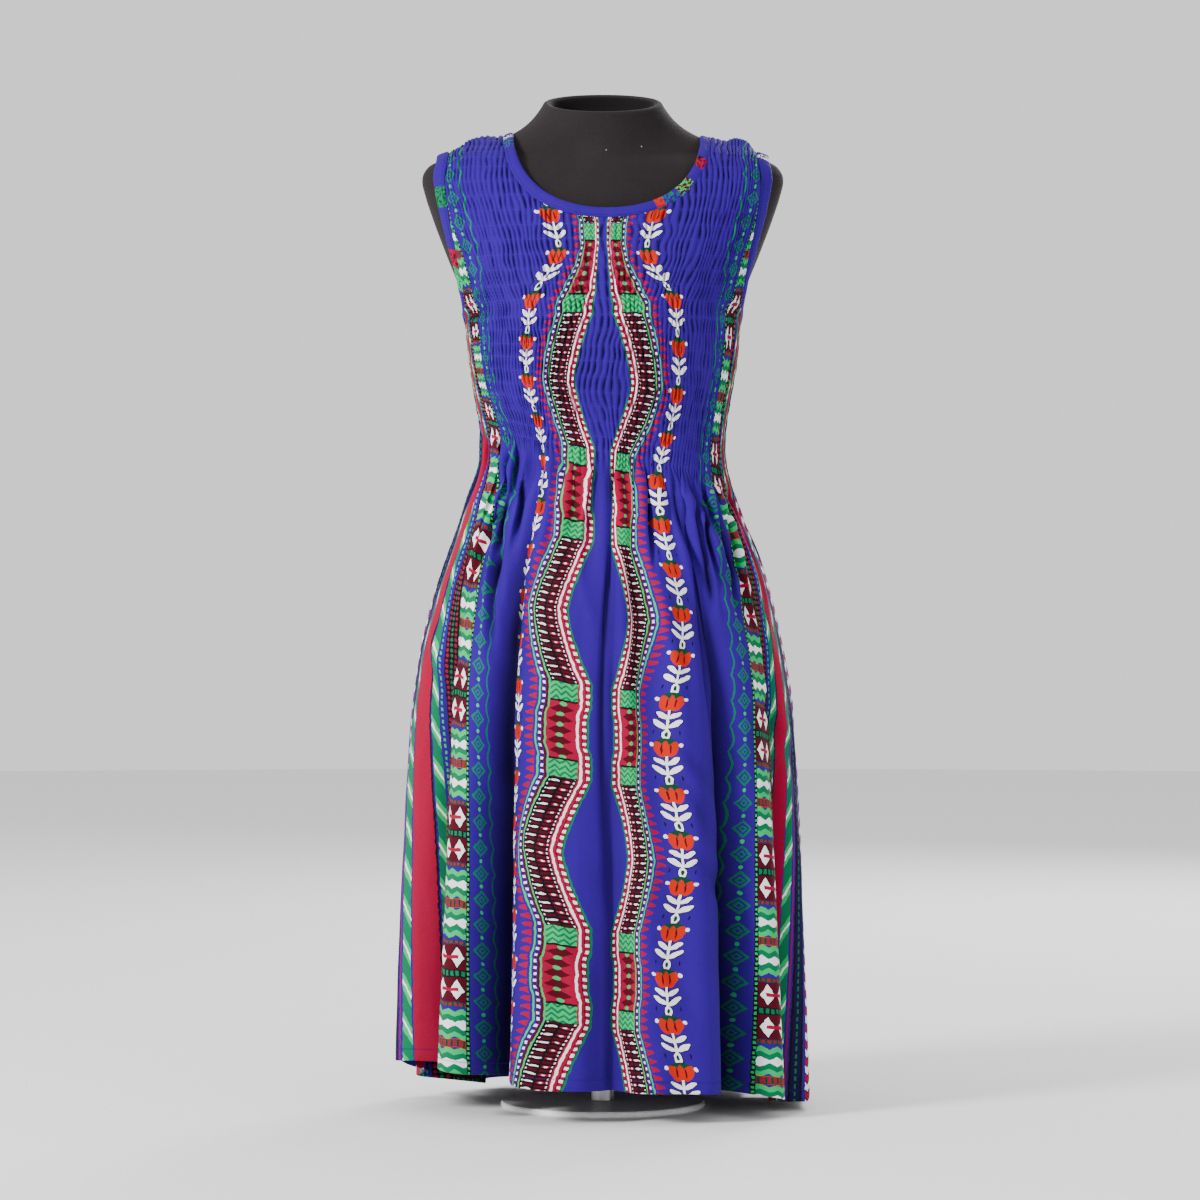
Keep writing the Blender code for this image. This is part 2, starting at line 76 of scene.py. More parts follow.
# The form's level sections: height, half width, depth to the front and back, fullness (2 is an ellipse).
FORM = (
    (0.400, 0.158, 0.106, 0.112, 2.2),
    (0.440, 0.166, 0.112, 0.120, 2.2),
    (0.500, 0.166, 0.113, 0.121, 2.2),
    (0.560, 0.157, 0.107, 0.111, 2.2),
    (0.620, 0.141, 0.098, 0.097, 2.2),
    (0.700, 0.1215, 0.089, 0.084, 2.2),
    (0.760, 0.1285, 0.101, 0.090, 2.2),
    (0.800, 0.1360, 0.118, 0.097, 2.2),
    (0.845, 0.1424, 0.133, 0.102, 2.2),
    (0.880, 0.1535, 0.128, 0.105, 2.2),
    (0.920, 0.1695, 0.114, 0.104, 2.2),
    (0.960, 0.1845, 0.101, 0.100, 2.2),
    (0.985, 0.1925, 0.092, 0.094, 2.15),
    (0.997, 0.1950, 0.087, 0.090, 2.05),
    (1.008, 0.1925, 0.082, 0.0855, 1.9),
    (1.0165, 0.1840, 0.078, 0.082, 1.7),
    (1.023, 0.1680, 0.0755, 0.0795, 1.5),
    (1.030, 0.1470, 0.073, 0.077, 1.38),
    (1.037, 0.1220, 0.0705, 0.074, 1.38),
    (1.0425, 0.1020, 0.069, 0.071, 1.5),
    (1.048, 0.0910, 0.0675, 0.068, 1.8),
    (1.057, 0.0800, 0.066, 0.063, 2.0),
    (1.069, 0.0710, 0.065, 0.059, 2.1),
    (1.081, 0.0645, 0.064, 0.056, 2.1),
)
# The cloth's sections below the chest: height, half width, depth to the front and back.
DRESS = (
    (0.000, 0.2190, 0.182, 0.182),
    (0.152, 0.2160, 0.176, 0.175),
    (0.282, 0.2120, 0.168, 0.167),
    (0.368, 0.2075, 0.162, 0.160),
    (0.455, 0.1995, 0.153, 0.150),
    (0.520, 0.1870, 0.143, 0.139),
    (0.563, 0.1750, 0.134, 0.129),
    (0.606, 0.1595, 0.124, 0.118),
    (0.628, 0.1510, 0.118, 0.112),
    (0.650, 0.1425, 0.112, 0.106),
    (0.671, 0.1345, 0.107, 0.100),
    (0.692, 0.1295, 0.104, 0.096),
    (0.714, 0.1280, 0.103, 0.094),
    (0.735, 0.1295, 0.106, 0.0945),
    (0.757, 0.1330, 0.112, 0.096),
    (0.779, 0.1370, 0.120, 0.098),
    (0.800, 0.1405, 0.127, 0.100),
    (0.822, 0.1427, 0.1332, 0.1025),
    (0.845, 0.1445, 0.1351, 0.1041),
    (0.870, 0.1500, 0.1310, 0.1050),
)
# Across a panel: heights of the shirring's end, the front hem and the back hem.
LEVELS = (
    (-1.00, 0.733, 0.050, 0.050),
    (-0.75, 0.730, 0.057, 0.026),
    (-0.50, 0.720, 0.053, 0.014),
    (-0.25, 0.710, 0.041, 0.012),
    (0.00, 0.700, 0.036, 0.012),
    (0.25, 0.690, 0.034, 0.012),
    (0.50, 0.680, 0.028, 0.011),
    (0.75, 0.670, 0.014, 0.008),
    (1.00, 0.664, 0.008, 0.008),
)
# The large folds: place across, half width, rise (a valley below zero), start down, drift on the way.
FOLDS = {
    "front": (
        (-0.86, 0.075, 0.009, 0.15, 0.04),
        (-0.66, 0.085, -0.024, 0.12, 0.05),
        (-0.50, 0.080, 0.011, 0.10, 0.03),
        (-0.345, 0.066, -0.038, 0.04, 0.02),
        (-0.19, 0.080, 0.010, 0.08, 0.02),
        (0.02, 0.045, -0.018, 0.00, 0.00),
        (0.13, 0.070, 0.006, 0.10, -0.01),
        (0.31, 0.090, 0.012, 0.05, -0.03),
        (0.44, 0.066, -0.038, 0.06, -0.04),
        (0.59, 0.080, 0.010, 0.12, -0.05),
        (0.76, 0.075, -0.024, 0.12, -0.05),
        (0.89, 0.060, 0.009, 0.20, -0.04),
    ),
    "back": (
        (-0.84, 0.080, -0.018, 0.15, 0.05),
        (-0.68, 0.080, 0.011, 0.10, 0.04),
        (-0.50, 0.080, -0.032, 0.08, 0.04),
        (-0.31, 0.085, 0.011, 0.12, 0.02),
        (-0.12, 0.068, -0.026, 0.05, 0.01),
        (0.05, 0.075, 0.009, 0.10, 0.00),
        (0.23, 0.075, -0.034, 0.06, -0.02),
        (0.41, 0.085, 0.012, 0.08, -0.03),
        (0.61, 0.080, -0.026, 0.10, -0.04),
        (0.80, 0.080, 0.010, 0.12, -0.05),
    ),
}

# ---------------------------------------------------------------- sizes of the finer shells
HALF_FLAT = 0.375        # half width of a panel's flat cloth
EVEN_FLAT = 0.285        # the part of it that the bodice spreads evenly
FIELD_END = 0.150        # flat place in the plain blue where the two prints meet
RIB_PITCH = 0.0067       # flat cloth in one shirring crinkle
RIB_RISE = 0.0030        # height of a crinkle
STAND_OFF = 0.0010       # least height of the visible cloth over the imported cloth's inner face
ELASTIC_PITCH, ELASTIC_RADIUS = 0.0170, 0.00017
SMOCK_LENGTH = 0.156     # chest to the end of the shirring, along the cloth
NECK_DRAW = 0.30         # how far the shirring draws the print to the middle at the neckline
NECK_CLIMB = 0.075       # height over which it does so
SKIRT_COLUMNS, SKIRT_ROWS = 360, 84
SMOCK_COLUMNS = 2 * SKIRT_COLUMNS
YOKE_ROWS, BODICE_ROWS = 52, 40
FOLD_PINCH = 0.45        # how much deeper the cloth sinks in the middle of a fold's valley
INNER_BANK, OUTER_BANK = 0.20, 0.70      # widths of that middle, towards the panel's middle and away from it
DEEP_FOLD = 0.038        # depth of a valley whose painted shade is full
VALLEY_SHADE, SHADE_SWELL = 1.4, 0.085   # painted shade in the middle of such a valley, and the swell worth a step of painted light
VALLEY_CLOTH = 55        # extra cloth that a valley holds, for each metre of its depth
VALLEY_CLOTHS = {-0.66: 0, -0.345: 70, 0.02: 33, 0.44: 20, 0.76: 40}
PLEAT_AT, PLEAT_HALF, PLEAT_CLOTH = 0.085, 0.045, 1.4      # the pleat beside the middle front
GATHER, LONG_GATHER = 0.0044, 0.0016     # heights of the gathers that end soon and of those that run on
RIPPLE, SMALL_RIPPLE, CRUMPLE = 0.0030, 0.0014, 0.0009     # heights of the skirt's softer waves
SAG = 0.0010             # how far the shirred cloth swells and sinks
HEM_ROLL = 0.0011        # radius of the hem's fold
HEM_TURN = 0.0035        # cloth that the fold takes
HEM_DEEP = 0.013         # cloth turned up inside
HEM_STITCH = 0.0115      # height of the hem's stitches over its fold
SLIT = 0.004             # half width of the creases whose painted shade is darkest
SLIT_DEPTH = 0.0058      # depth of a dent whose painted shade is full
SKIRT_HALF, SKIRT_LENGTH = 0.34, 0.66    # the skirt as the creases measure it
CREASE_BOW, CREASE_SWAY = 0.006, 0.0012  # how far a crease leaves its straight line
# Where the cloth stands off at the shoulders: place from the neckline's middle, half width, rise.
SHOULDER_PUFFS = ((-0.138, 0.016, 0.0060), (0.142, 0.012, 0.0085))

# Creases in the skirt: start across and down, end across and down, and in millimetres their half width
# and rise (a dent below zero).
CREASES = {
    "front": (
        (-0.61, -0.02, -0.62, 0.20, 4.5, -7.5),
        (-0.47, -0.03, -0.45, 0.11, 3, -8.5),
        (-0.42, 0.05, -0.38, 0.18, 3.4, -7.5),
        (-0.50, 0.10, -0.57, 0.24, 6.5, -8.5),
        (-0.49, 0.09, -0.47, 0.21, 2.6, -6.5),
        (-0.44, 0.17, -0.37, 0.36, 5, -8),
        (-0.20, -0.02, -0.19, 0.10, 3.5, -5.5),
        (0.06, -0.02, 0.05, 0.10, 3, -4.5),
        (0.19, -0.02, 0.17, 0.20, 2.8, -8.5),
        (0.34, -0.02, 0.36, 0.16, 3, -6),
        (0.42, -0.02, 0.41, 0.26, 3.4, -9),
        (0.52, 0.02, 0.47, 0.20, 3, -7),
        (0.60, 0.00, 0.52, 0.26, 3.4, -7.5),
        (0.70, 0.02, 0.62, 0.22, 4, -6.5),
        (0.80, 0.00, 0.82, 0.16, 3.6, -5.5),
        (0.36, 0.12, 0.38, 0.52, 5, -6),
        (0.085, 0.10, 0.11, 0.74, 18, -15),
        (0.022, 0.08, 0.016, 0.84, 2.8, -6),
        (-0.62, 0.02, -0.40, 0.26, 7.5, 5.5),
        (-0.55, 0.02, -0.34, 0.30, 6, -6),
        (-0.30, 0.01, -0.27, 0.16, 5, -4.5),
        (-0.46, 0.08, -0.44, 0.30, 6, 4.5),
        (0.36, 0.02, 0.62, 0.22, 7, 5.5),
        (0.30, 0.03, 0.50, 0.26, 6, -5.5),
        (0.52, 0.00, 0.56, 0.17, 5, -5),
        (0.16, 0.44, 0.36, 0.57, 9, 5),
        (0.20, 0.50, 0.34, 0.62, 7, -5.5),
        (0.26, 0.62, 0.46, 0.70, 9, -4),
        (-0.18, 0.30, -0.02, 0.44, 8, -3),
        (-0.80, 0.30, -0.55, 0.42, 9, 4),
        (0.62, 0.34, 0.86, 0.50, 9, -4),
        (-0.12, 0.72, 0.00, 0.90, 9, 3.5),
        (-0.24, 0.60, -0.16, 0.86, 8, -3.5),
        (0.12, 0.78, 0.28, 0.95, 9, 3.5),
    ),
    "back": (
        (-0.66, -0.02, -0.68, 0.20, 4.5, -7.5),
        (-0.44, -0.02, -0.45, 0.15, 4, -6),
        (-0.26, -0.02, -0.27, 0.19, 4, -7),
        (0.02, -0.02, 0.03, 0.14, 4, -6),
        (0.21, -0.02, 0.20, 0.18, 4, -7),
        (0.45, -0.02, 0.48, 0.15, 4, -6),
        (0.66, -0.02, 0.70, 0.22, 4.5, -7.5),
        (-0.60, 0.02, -0.36, 0.24, 7.5, 5.5),
        (-0.48, 0.02, -0.30, 0.28, 6, -5.5),
        (0.38, 0.02, 0.58, 0.24, 7, 5),
        (0.24, 0.03, 0.42, 0.28, 6, -5.5),
        (-0.08, 0.02, 0.02, 0.24, 6, -4.5),
        (-0.30, 0.42, -0.06, 0.55, 9, 4.5),
        (0.14, 0.48, 0.34, 0.62, 8, -5),
        (-0.74, 0.36, -0.52, 0.50, 9, -4),
        (0.56, 0.32, 0.80, 0.46, 9, 4),
        (-0.20, 0.72, -0.04, 0.88, 9, -4),
        (0.20, 0.74, 0.40, 0.92, 9, 3.5),
    ),
}


# ---------------------------------------------------------------- small tools
def mix(a, b, share):
    return a + (b - a) * share


def smooth_step(x):
    x = np.clip(x, 0.0, 1.0)
    return x * x * (3 - 2 * x)


def bell(x, half, power=2):
    return np.exp(-((x / half) ** power))


def unit(v):
    return v / np.maximum(np.linalg.norm(v, axis=-1, keepdims=True), 1e-12)


def reached_along(points):
    """Length from the first row of points to each one."""
    steps = np.linalg.norm(np.diff(points, axis=0), axis=-1)
    return np.concatenate((np.zeros_like(steps[:1]), np.cumsum(steps, axis=0)))


def hermite(start, end, leave, arrive, t):
    """A smooth curve from start to end with the given rates at both, read at the share t."""
    return (
        start * (2 * t**3 - 3 * t**2 + 1)
        + end * (3 * t**2 - 2 * t**3)
        + leave * (t**3 - 2 * t**2 + t)
        + arrive * (t**3 - t**2)
    )


def curve_through(table):
    """A smooth function of a table's first column that gives its other columns."""
    rows = np.array(table, float)
    at, values = rows[:, 0], rows[:, 1:]
    rate = np.gradient(values, at, axis=0)
    step = np.diff(values, axis=0) / np.diff(at)[:, None]
    turning = np.zeros_like(values, bool)
    turning[1:-1] = step[1:] * step[:-1] <= 0
    rate[turning] = 0.0

    def value(x):
        x = np.clip(np.asarray(x, float), at[0], at[-1])
        i = np.clip(np.searchsorted(at, x, "right") - 1, 0, len(at) - 2)
        width = (at[i + 1] - at[i])[..., None]
        t = (x - at[i])[..., None] / width
        found = hermite(values[i], values[i + 1], width * rate[i], width * rate[i + 1], t)
        return np.moveaxis(found, -1, 0)

    return value


form_sizes = curve_through(FORM)
dress_lines = curve_through(DRESS)
levels_at = curve_through(LEVELS)


def lattice(seed):
    return np.random.default_rng(seed).uniform(-1, 1, (64, 64))


def noise(x, y, seed):
    """Smooth noise from -1 to 1 over a lattice of unit cells."""
    grid = lattice(seed)
    i, j = np.floor(x).astype(int), np.floor(y).astype(int)
    s, t = smooth_step(x - i), smooth_step(y - j)

    def at(a, b):
        return grid[(i + a) % 64, (j + b) % 64]

    return mix(mix(at(0, 0), at(1, 0), s), mix(at(0, 1), at(1, 1), s), t)


# ---------------------------------------------------------------- the form and the cloth's own surface
def section_point(sizes, height, angle):
    """Points of cross sections: angle 0 is the middle front, 90 degrees the wearer's left side."""
    half_width, front, back, fullness = sizes
    across, ahead = np.sin(angle), np.cos(angle)
    power = 2 / fullness
    x = half_width * np.copysign(np.abs(across) ** power, across)
    y = -np.where(ahead > 0, front, back) * np.copysign(np.abs(ahead) ** power, ahead)
    return np.stack(np.broadcast_arrays(x, y, height), -1)


def form_point(height, angle):
    return section_point(form_sizes(height), height, angle)


def form_normal(height, angle):
    """Outward direction of the form's surface."""
    turn, rise = 1e-3, 2e-4
    along = form_point(height, angle + turn) - form_point(height, angle - turn)
    up = form_point(height + rise, angle) - form_point(height - rise, angle)
    return unit(np.cross(along, up))


RIDGE_Z = np.linspace(SHOULDER_Z, NECK_TOP_Z, 400)
RIDGE_X = form_sizes(RIDGE_Z)[0]


def ridge_height(half_width):
    """Height of the shoulder line at a distance from the middle."""
    return float(np.interp(half_width, RIDGE_X[::-1], RIDGE_Z[::-1]))


TIP_Z = ridge_height(TIP_X)
NECK_Z = ridge_height(NECK_HALF)


def yoke_skin():
    """The form's surface from below the chest to the neck, as a fine net to measure from."""
    heights, turns = np.linspace(CHEST_Z - 0.02, 1.058, 150), np.linspace(0, 2 * math.pi, 241)
    points = form_point(heights[:, None], turns[None, :]).reshape(-1, 3)
    wide = len(turns)
    cells = [
        (i * wide + j, i * wide + j + 1, i * wide + wide + j + 1, i * wide + wide + j)
        for i in range(len(heights) - 1)
        for j in range(wide - 1)
    ]
    return BVHTree.FromPolygons(points.tolist(), cells)


YOKE_SKIN = yoke_skin()


def facing(side, angle):
    """An angle from the middle front, turned round to the middle back for the back panel."""
    return angle if side == "front" else math.pi - angle


def angle_of(sizes, x):
    """The angle at which a section reaches a distance from the middle."""
    share = min(abs(x) / float(sizes[0]), 1.0)
    return math.copysign(math.asin(share ** (float(sizes[3]) / 2)), x)


def neckline_place(side, hand, turn, inset=0.0):
    """Front view place on the neckline: turn 0 is the middle, 90 degrees the shoulder seam."""
    power = 2 / NECK_ROUND
    x_share, z_share = abs(math.sin(turn)) ** power, abs(math.cos(turn)) ** power
    x = (NECK_HALF - inset) * x_share
    end_z = ridge_height(NECK_HALF - inset + hand * NECK_SHIFT)
    return hand * x + NECK_SHIFT, mix(end_z, NECK_Z - NECK_DEPTH[side] + inset, z_share)


@functools.lru_cache(maxsize=None)
def neckline_steps(side, hand):
    """Turns along half of the neckline and the share of its length that each one has reached."""
    turns = np.linspace(0, math.pi / 2, 121)
    places = [neckline_place(side, hand, turn) for turn in turns]
    points = np.array([form_point(z, facing(side, angle_of(form_sizes(z), x))) for x, z in places])
    reached = reached_along(points)
    return turns, reached / reached[-1]


def column_top(side, across, inset=0.0):
    """Front view place of a column's top: on the neckline, or on the shoulder seam beyond it."""
    reach, hand = abs(across) / NECK_SHARE, math.copysign(1.0, across)
    if reach <= 1:
        turns, reached = neckline_steps(side, hand)
        return neckline_place(side, hand, float(np.interp(reach, reached, turns)), inset)
    beyond = (reach - 1) * NECK_SHARE / (1 - NECK_SHARE)
    x = hand * mix(NECK_HALF, TIP_X, beyond) + NECK_SHIFT * (1 - beyond)
    return x, ridge_height(abs(x))


def armhole_span(inset=0.0):
    """Middle height and half of the height of the armhole's edge, at a distance in."""
    low, high = CHEST_Z + inset, TIP_Z - ARM_TOP_SHARE * inset
    return (low + high) / 2, (high - low) / 2


def armhole_angle(side, height, inset=0.0):
    """Where the armhole's edge crosses a height: 90 degrees at the underarm and at the shoulder."""
    middle, half = armhole_span(inset)
    if not middle - half < height < middle + half:
        return math.pi / 2
    level = abs(height - middle) / half
    sizes = form_sizes(height)
    depth = sizes[1] if side == "front" else sizes[2]
    reach = (1 - level**ARMHOLE_ROUND) ** (1 / ARMHOLE_ROUND)
    ahead = (ARMHOLE_HALF - inset) * reach / depth
    angle = math.acos(min(ahead, 1.0) ** (sizes[3] / 2))
    if height > TIP_FLAT_Z:
        angle = max(angle, angle_of(sizes, TIP_X + TIP_SPREAD * inset))
    return angle


def place_on_form(point, core_z):
    """Height and angle on the form, straight out past a point from a height on the side plane."""
    core = Vector((point[0], 0.0, core_z))
    x, y, z = YOKE_SKIN.ray_cast(core, Vector(point) - core)[0]
    half_width, front, back, fullness = form_sizes(z)
    across = (abs(x) / half_width) ** (fullness / 2)
    ahead = (abs(y) / (front if y < 0 else back)) ** (fullness / 2)
    angle = math.atan2(across, ahead)
    return z, math.copysign(facing("front" if y < 0 else "back", angle), x)


@functools.lru_cache(maxsize=None)
def top_place(side, across):
    """Height and angle of a column's top."""
    x, z = column_top(side, across)
    if abs(across) >= NECK_SHARE:
        return z, facing(side, math.copysign(math.pi / 2, across))
    return z, facing(side, angle_of(form_sizes(z), x))


def armhole_place(side, hand, rise):
    """Height and angle on the armhole's edge, from the underarm (rise 0) to the shoulder (1)."""
    middle, half = armhole_span()
    height = middle - half * math.cos(math.pi * rise)
    return height, facing(side, hand * armhole_angle(side, height))


def yoke_place(side, across, level):
    """Height and angle of the cloth between shoulder (level 0) and chest (level 1)."""
    rise, reach = 1 - level, abs(across)
    hand = math.copysign(1.0, across)
    if level == 0:
        return top_place(side, across)
    if reach > 0.9999:
        return armhole_place(side, hand, rise)
    # A patch between the chest, the columns' tops, the middle and the armhole's edge, put on the form.
    lift = 1 - level**1.25
    chest = [form_point(CHEST_Z, facing(side, math.pi / 2 * hand * u)) for u in (0, 1)]
    top = [form_point(*top_place(side, hand * u)) for u in (1e-9, 1)]
    below = form_point(CHEST_Z, facing(side, math.pi / 2 * across))
    above = form_point(*top_place(side, across))
    middle = form_point(mix(CHEST_Z, top[0][2], lift), facing(side, 0.0))
    edge = form_point(*armhole_place(side, hand, rise))
    corners = mix(mix(chest[0], top[0], lift), mix(chest[1], top[1], lift), reach)
    patch = mix(below, above, lift) + mix(middle, edge, reach) - corners
    return place_on_form(patch, mix(mix(CHEST_Z, CORE_Z, lift), patch[2], reach**4))


def fold_rise(side, across, down):
    """Rise of the skirt's large folds at a share of the way from shirring to hem, and their painted shade.

    A valley's bank is steep towards the panel's middle and slack away from it.
    """
    total = np.zeros(np.broadcast(across, down).shape)
    shade = np.zeros(total.shape)
    for place, half, rise, start, drift in FOLDS[side]:
        middle = place + drift * (1 - down) * 2
        grow = smooth_step((down - start) / (1.02 - start)) ** 0.8
        off = (across - middle) / (half * mix(0.8, 1.15, down))
        swell = rise * grow * bell(off, 1)
        total += swell
        if rise < 0:
            off = off * math.copysign(1.0, place)
            bank = bell(off, np.where(off < 0, INNER_BANK, OUTER_BANK))
            total += FOLD_PINCH * rise * grow**0.38 * bank
            # Painted shade down a deep valley's middle, and painted light on each swell.
            dark = smooth_step((down - start - 0.04) / 0.22) * (rise / DEEP_FOLD) ** 2
            shade += VALLEY_SHADE * dark * bank - swell / SHADE_SWELL
    fade = bell(down - 0.06, 0.10) * smooth_step(down / 0.04)
    total += GATHER_RISE * fade * np.cos(2 * math.pi * GATHERS * across)
    edge = 1 - np.abs(across) ** 10
    return total * edge, shade * edge


def trunk_points(side, across, level):
    """The cloth below the chest: bodice for level 1 to 2, skirt for level 2 to 3."""
    smock_z, front_hem, back_hem = levels_at(across)
    hem_z = front_hem if side == "front" else back_hem
    height = np.where(level <= 2, mix(CHEST_Z, smock_z, level - 1), mix(smock_z, hem_z, level - 2))
    angle = facing(side, math.pi / 2 * across)
    half_width, front, back = dress_lines(height)
    point = section_point((half_width, front, back, FULLNESS), height, angle)
    outward = unit(point * (1.0, 1.4, 0.0))
    rise = np.where(level > 2, fold_rise(side, across, level - 2)[0], 0.0)
    return point + outward * rise[..., None]


# ---------------------------------------------------------------- fine grids
def resample(grid, count, axis):
    """A grid read at evenly spaced places along one axis, through smooth curves."""
    grid = np.moveaxis(grid, axis, 0)
    last = len(grid) - 1
    at = np.linspace(0, last, count)
    cell = np.clip(at.astype(int), 0, last - 1)
    before, start, end, after = (grid[np.clip(cell + step, 0, last)] for step in (-1, 0, 1, 2))
    cell, at = (each.reshape((-1,) + (1,) * (grid.ndim - 1)) for each in (cell, at))
    leave = np.where(cell == 0, end - start, (end - before) / 2)
    arrive = np.where(cell == last - 1, end - start, (after - start) / 2)
    return np.moveaxis(hermite(start, end, leave, arrive, at - cell), 0, axis)


def grid_normals(side, points):
    """Outward directions of a grid whose rows run down and whose columns run to the wearer's left."""
    down, along = np.gradient(points, axis=0), np.gradient(points, axis=1)
    normal = np.cross(down, along) if side == "front" else np.cross(along, down)
    return unit(normal)


def yoke_grid(side, rows, columns):
    """The cloth's inner face from the shoulder to the chest, and its normals."""
    wide, tall = 96, 22
    places = np.array([
        [yoke_place(side, -1 + 2 * j / wide, i / tall) for j in range(wide + 1)] for i in range(tall + 1)
    ])
    height, angle = places[..., 0], places[..., 1]
    normal = form_normal(height, angle)
    across, level = np.linspace(-1, 1, wide + 1)[None, :], np.linspace(0, 1, tall + 1)[:, None]
    beside = 4 * across**8 * (1 - across**8) * np.sin(math.pi * level)
    points = form_point(height, angle) + (EASE + ARM_EASE * beside)[..., None] * normal
    points, normal = (resample(resample(g, rows + 1, 0), columns + 1, 1) for g in (points, normal))
    return points, unit(normal)


# Length along the form from the chest up to each height, at an angle in the middle of a panel's half.
MERIDIAN_Z = np.linspace(CHEST_Z, 1.06, 120)
MERIDIAN_LENGTH = reached_along(form_point(MERIDIAN_Z, math.radians(42)))


def bodice_share(share):
    """Flat cloth between the middle and a share of the way to the side, over the bodice."""
    return EVEN_FLAT * share + (HALF_FLAT - EVEN_FLAT) * share**5


def skirt_share(side, across):
    """The same over the skirt, where the valleys of the folds hold more cloth."""
    at = np.linspace(-1, 1, 801)
    crowd = np.ones_like(at)
    for place, half, rise, _, _ in FOLDS[side]:
        if rise < 0:
            crowd += VALLEY_CLOTHS.get(place, VALLEY_CLOTH) * -rise * bell(at - place, half)
    if side == "front":
        crowd += PLEAT_CLOTH * bell(at - PLEAT_AT, PLEAT_HALF)
    total = np.concatenate(((0,), np.cumsum((crowd[1:] + crowd[:-1]) / 2)))
    total *= 2 * HALF_FLAT / total[-1]
    return np.interp(across, at, total - np.interp(0, at, total))


def flat_across(side, place, across, level):
    """Flat cloth between the middle and a place: the bodice's spread turns into the skirt's."""
    return mix(bodice_share(place), skirt_share(side, across), smooth_step((level - 1.5) / 1.2))


def shirring(u, v):
    """Height of the crinkles (1 on a ridge), their count across, and how deep each valley is."""
    rib, row = u / RIB_PITCH, v / ELASTIC_PITCH
    # The crinkles wander, widely and closely.
    count = rib + 1.2 * noise(rib / 15, row / 5, 1) + 0.55 * noise(rib / 3.3, row / 2.4, 2)
    count += 0.34 * noise(rib / 2.4, row * 1.1, 3)
    # Each valley has its own depth between two threads, and the threads pull it shallow.
    chance = lattice(4)[np.floor(count).astype(int) % 64, np.floor(row).astype(int) % 64]
    pinch = np.abs(np.sin(math.pi * row)) ** 0.55
    patch = 0.16 * noise(rib / 9, row / 3, 5)
    depth = np.clip(0.66 + 0.34 * chance + patch, 0.1, 1.0) * (0.22 + 0.78 * pinch)
    ridge = np.abs(np.cos(math.pi * count)) ** 0.75
    small = 0.08 * noise(rib * 2.3, row * 1.4, 6)
    return 1 - depth * (1 - ridge) + small + 0.16 * pinch, count, depth


def crease_rise(side, across, down):
    """Rise of the creases, soft and uneven, and the shade painted in their dents and beside their ridges."""
    total, crease_shade = np.zeros(across.shape), np.zeros(across.shape)
    for index, (a0, d0, a1, d1, half, rise) in enumerate(CREASES[side]):
        half, rise = half / 1000, rise / 1000
        run_x, run_y = (a1 - a0) * SKIRT_HALF, (d1 - d0) * SKIRT_LENGTH
        off_x, off_y = (across - a0) * SKIRT_HALF, (down - d0) * SKIRT_LENGTH
        size = np.hypot(run_x, run_y)
        along = (off_x * run_x + off_y * run_y) / size**2
        bend = CREASE_BOW * np.sin(math.pi * np.clip(along, 0, 1)) * (1 if index % 2 else -1)
        bend += CREASE_SWAY * np.sin(along * 9 + index)
        beside = (off_x * run_y - off_y * run_x) / size + bend
        fade = smooth_step(along / 0.2) * smooth_step((1 - along) / 0.5)
        wide = half * (1 + 0.8 * np.clip(along, 0, 1))
        beside = beside * math.copysign(1.0, a0) / wide
        peak = fade * bell(beside, np.where(beside < 0, 0.65, 1.2))
        flank = fade * bell(beside - 1.5, 0.7)
        total += rise * (peak - 0.5 * flank)
        # Painted shade in a dent, and on the flank beside a ridge.
        crease_shade += abs(rise) * min(1.0, SLIT / half) * (peak if rise < 0 else flank)
    return total, crease_shade


def shoulder_puff(x):
    """Extra rise along the shoulder seams, where the shirred cloth stands off the form."""
    return sum(rise * bell(x - NECK_SHIFT - place, half, 4) for place, half, rise in SHOULDER_PUFFS)


def seam_share(across):
    """How much of the crinkles' height is left, which the side seams hold down."""
    return mix(0.35, 1.0, smooth_step((1 - np.abs(across)) / 0.035))


# Rows of points with their normals, flat places and what the print's painted shading reads: painted light
# and shade from how high the cloth lies, the count of crinkles and the depth of the grooves between them.
Cloth = namedtuple("Cloth", "points normal u v relief crinkle groove")


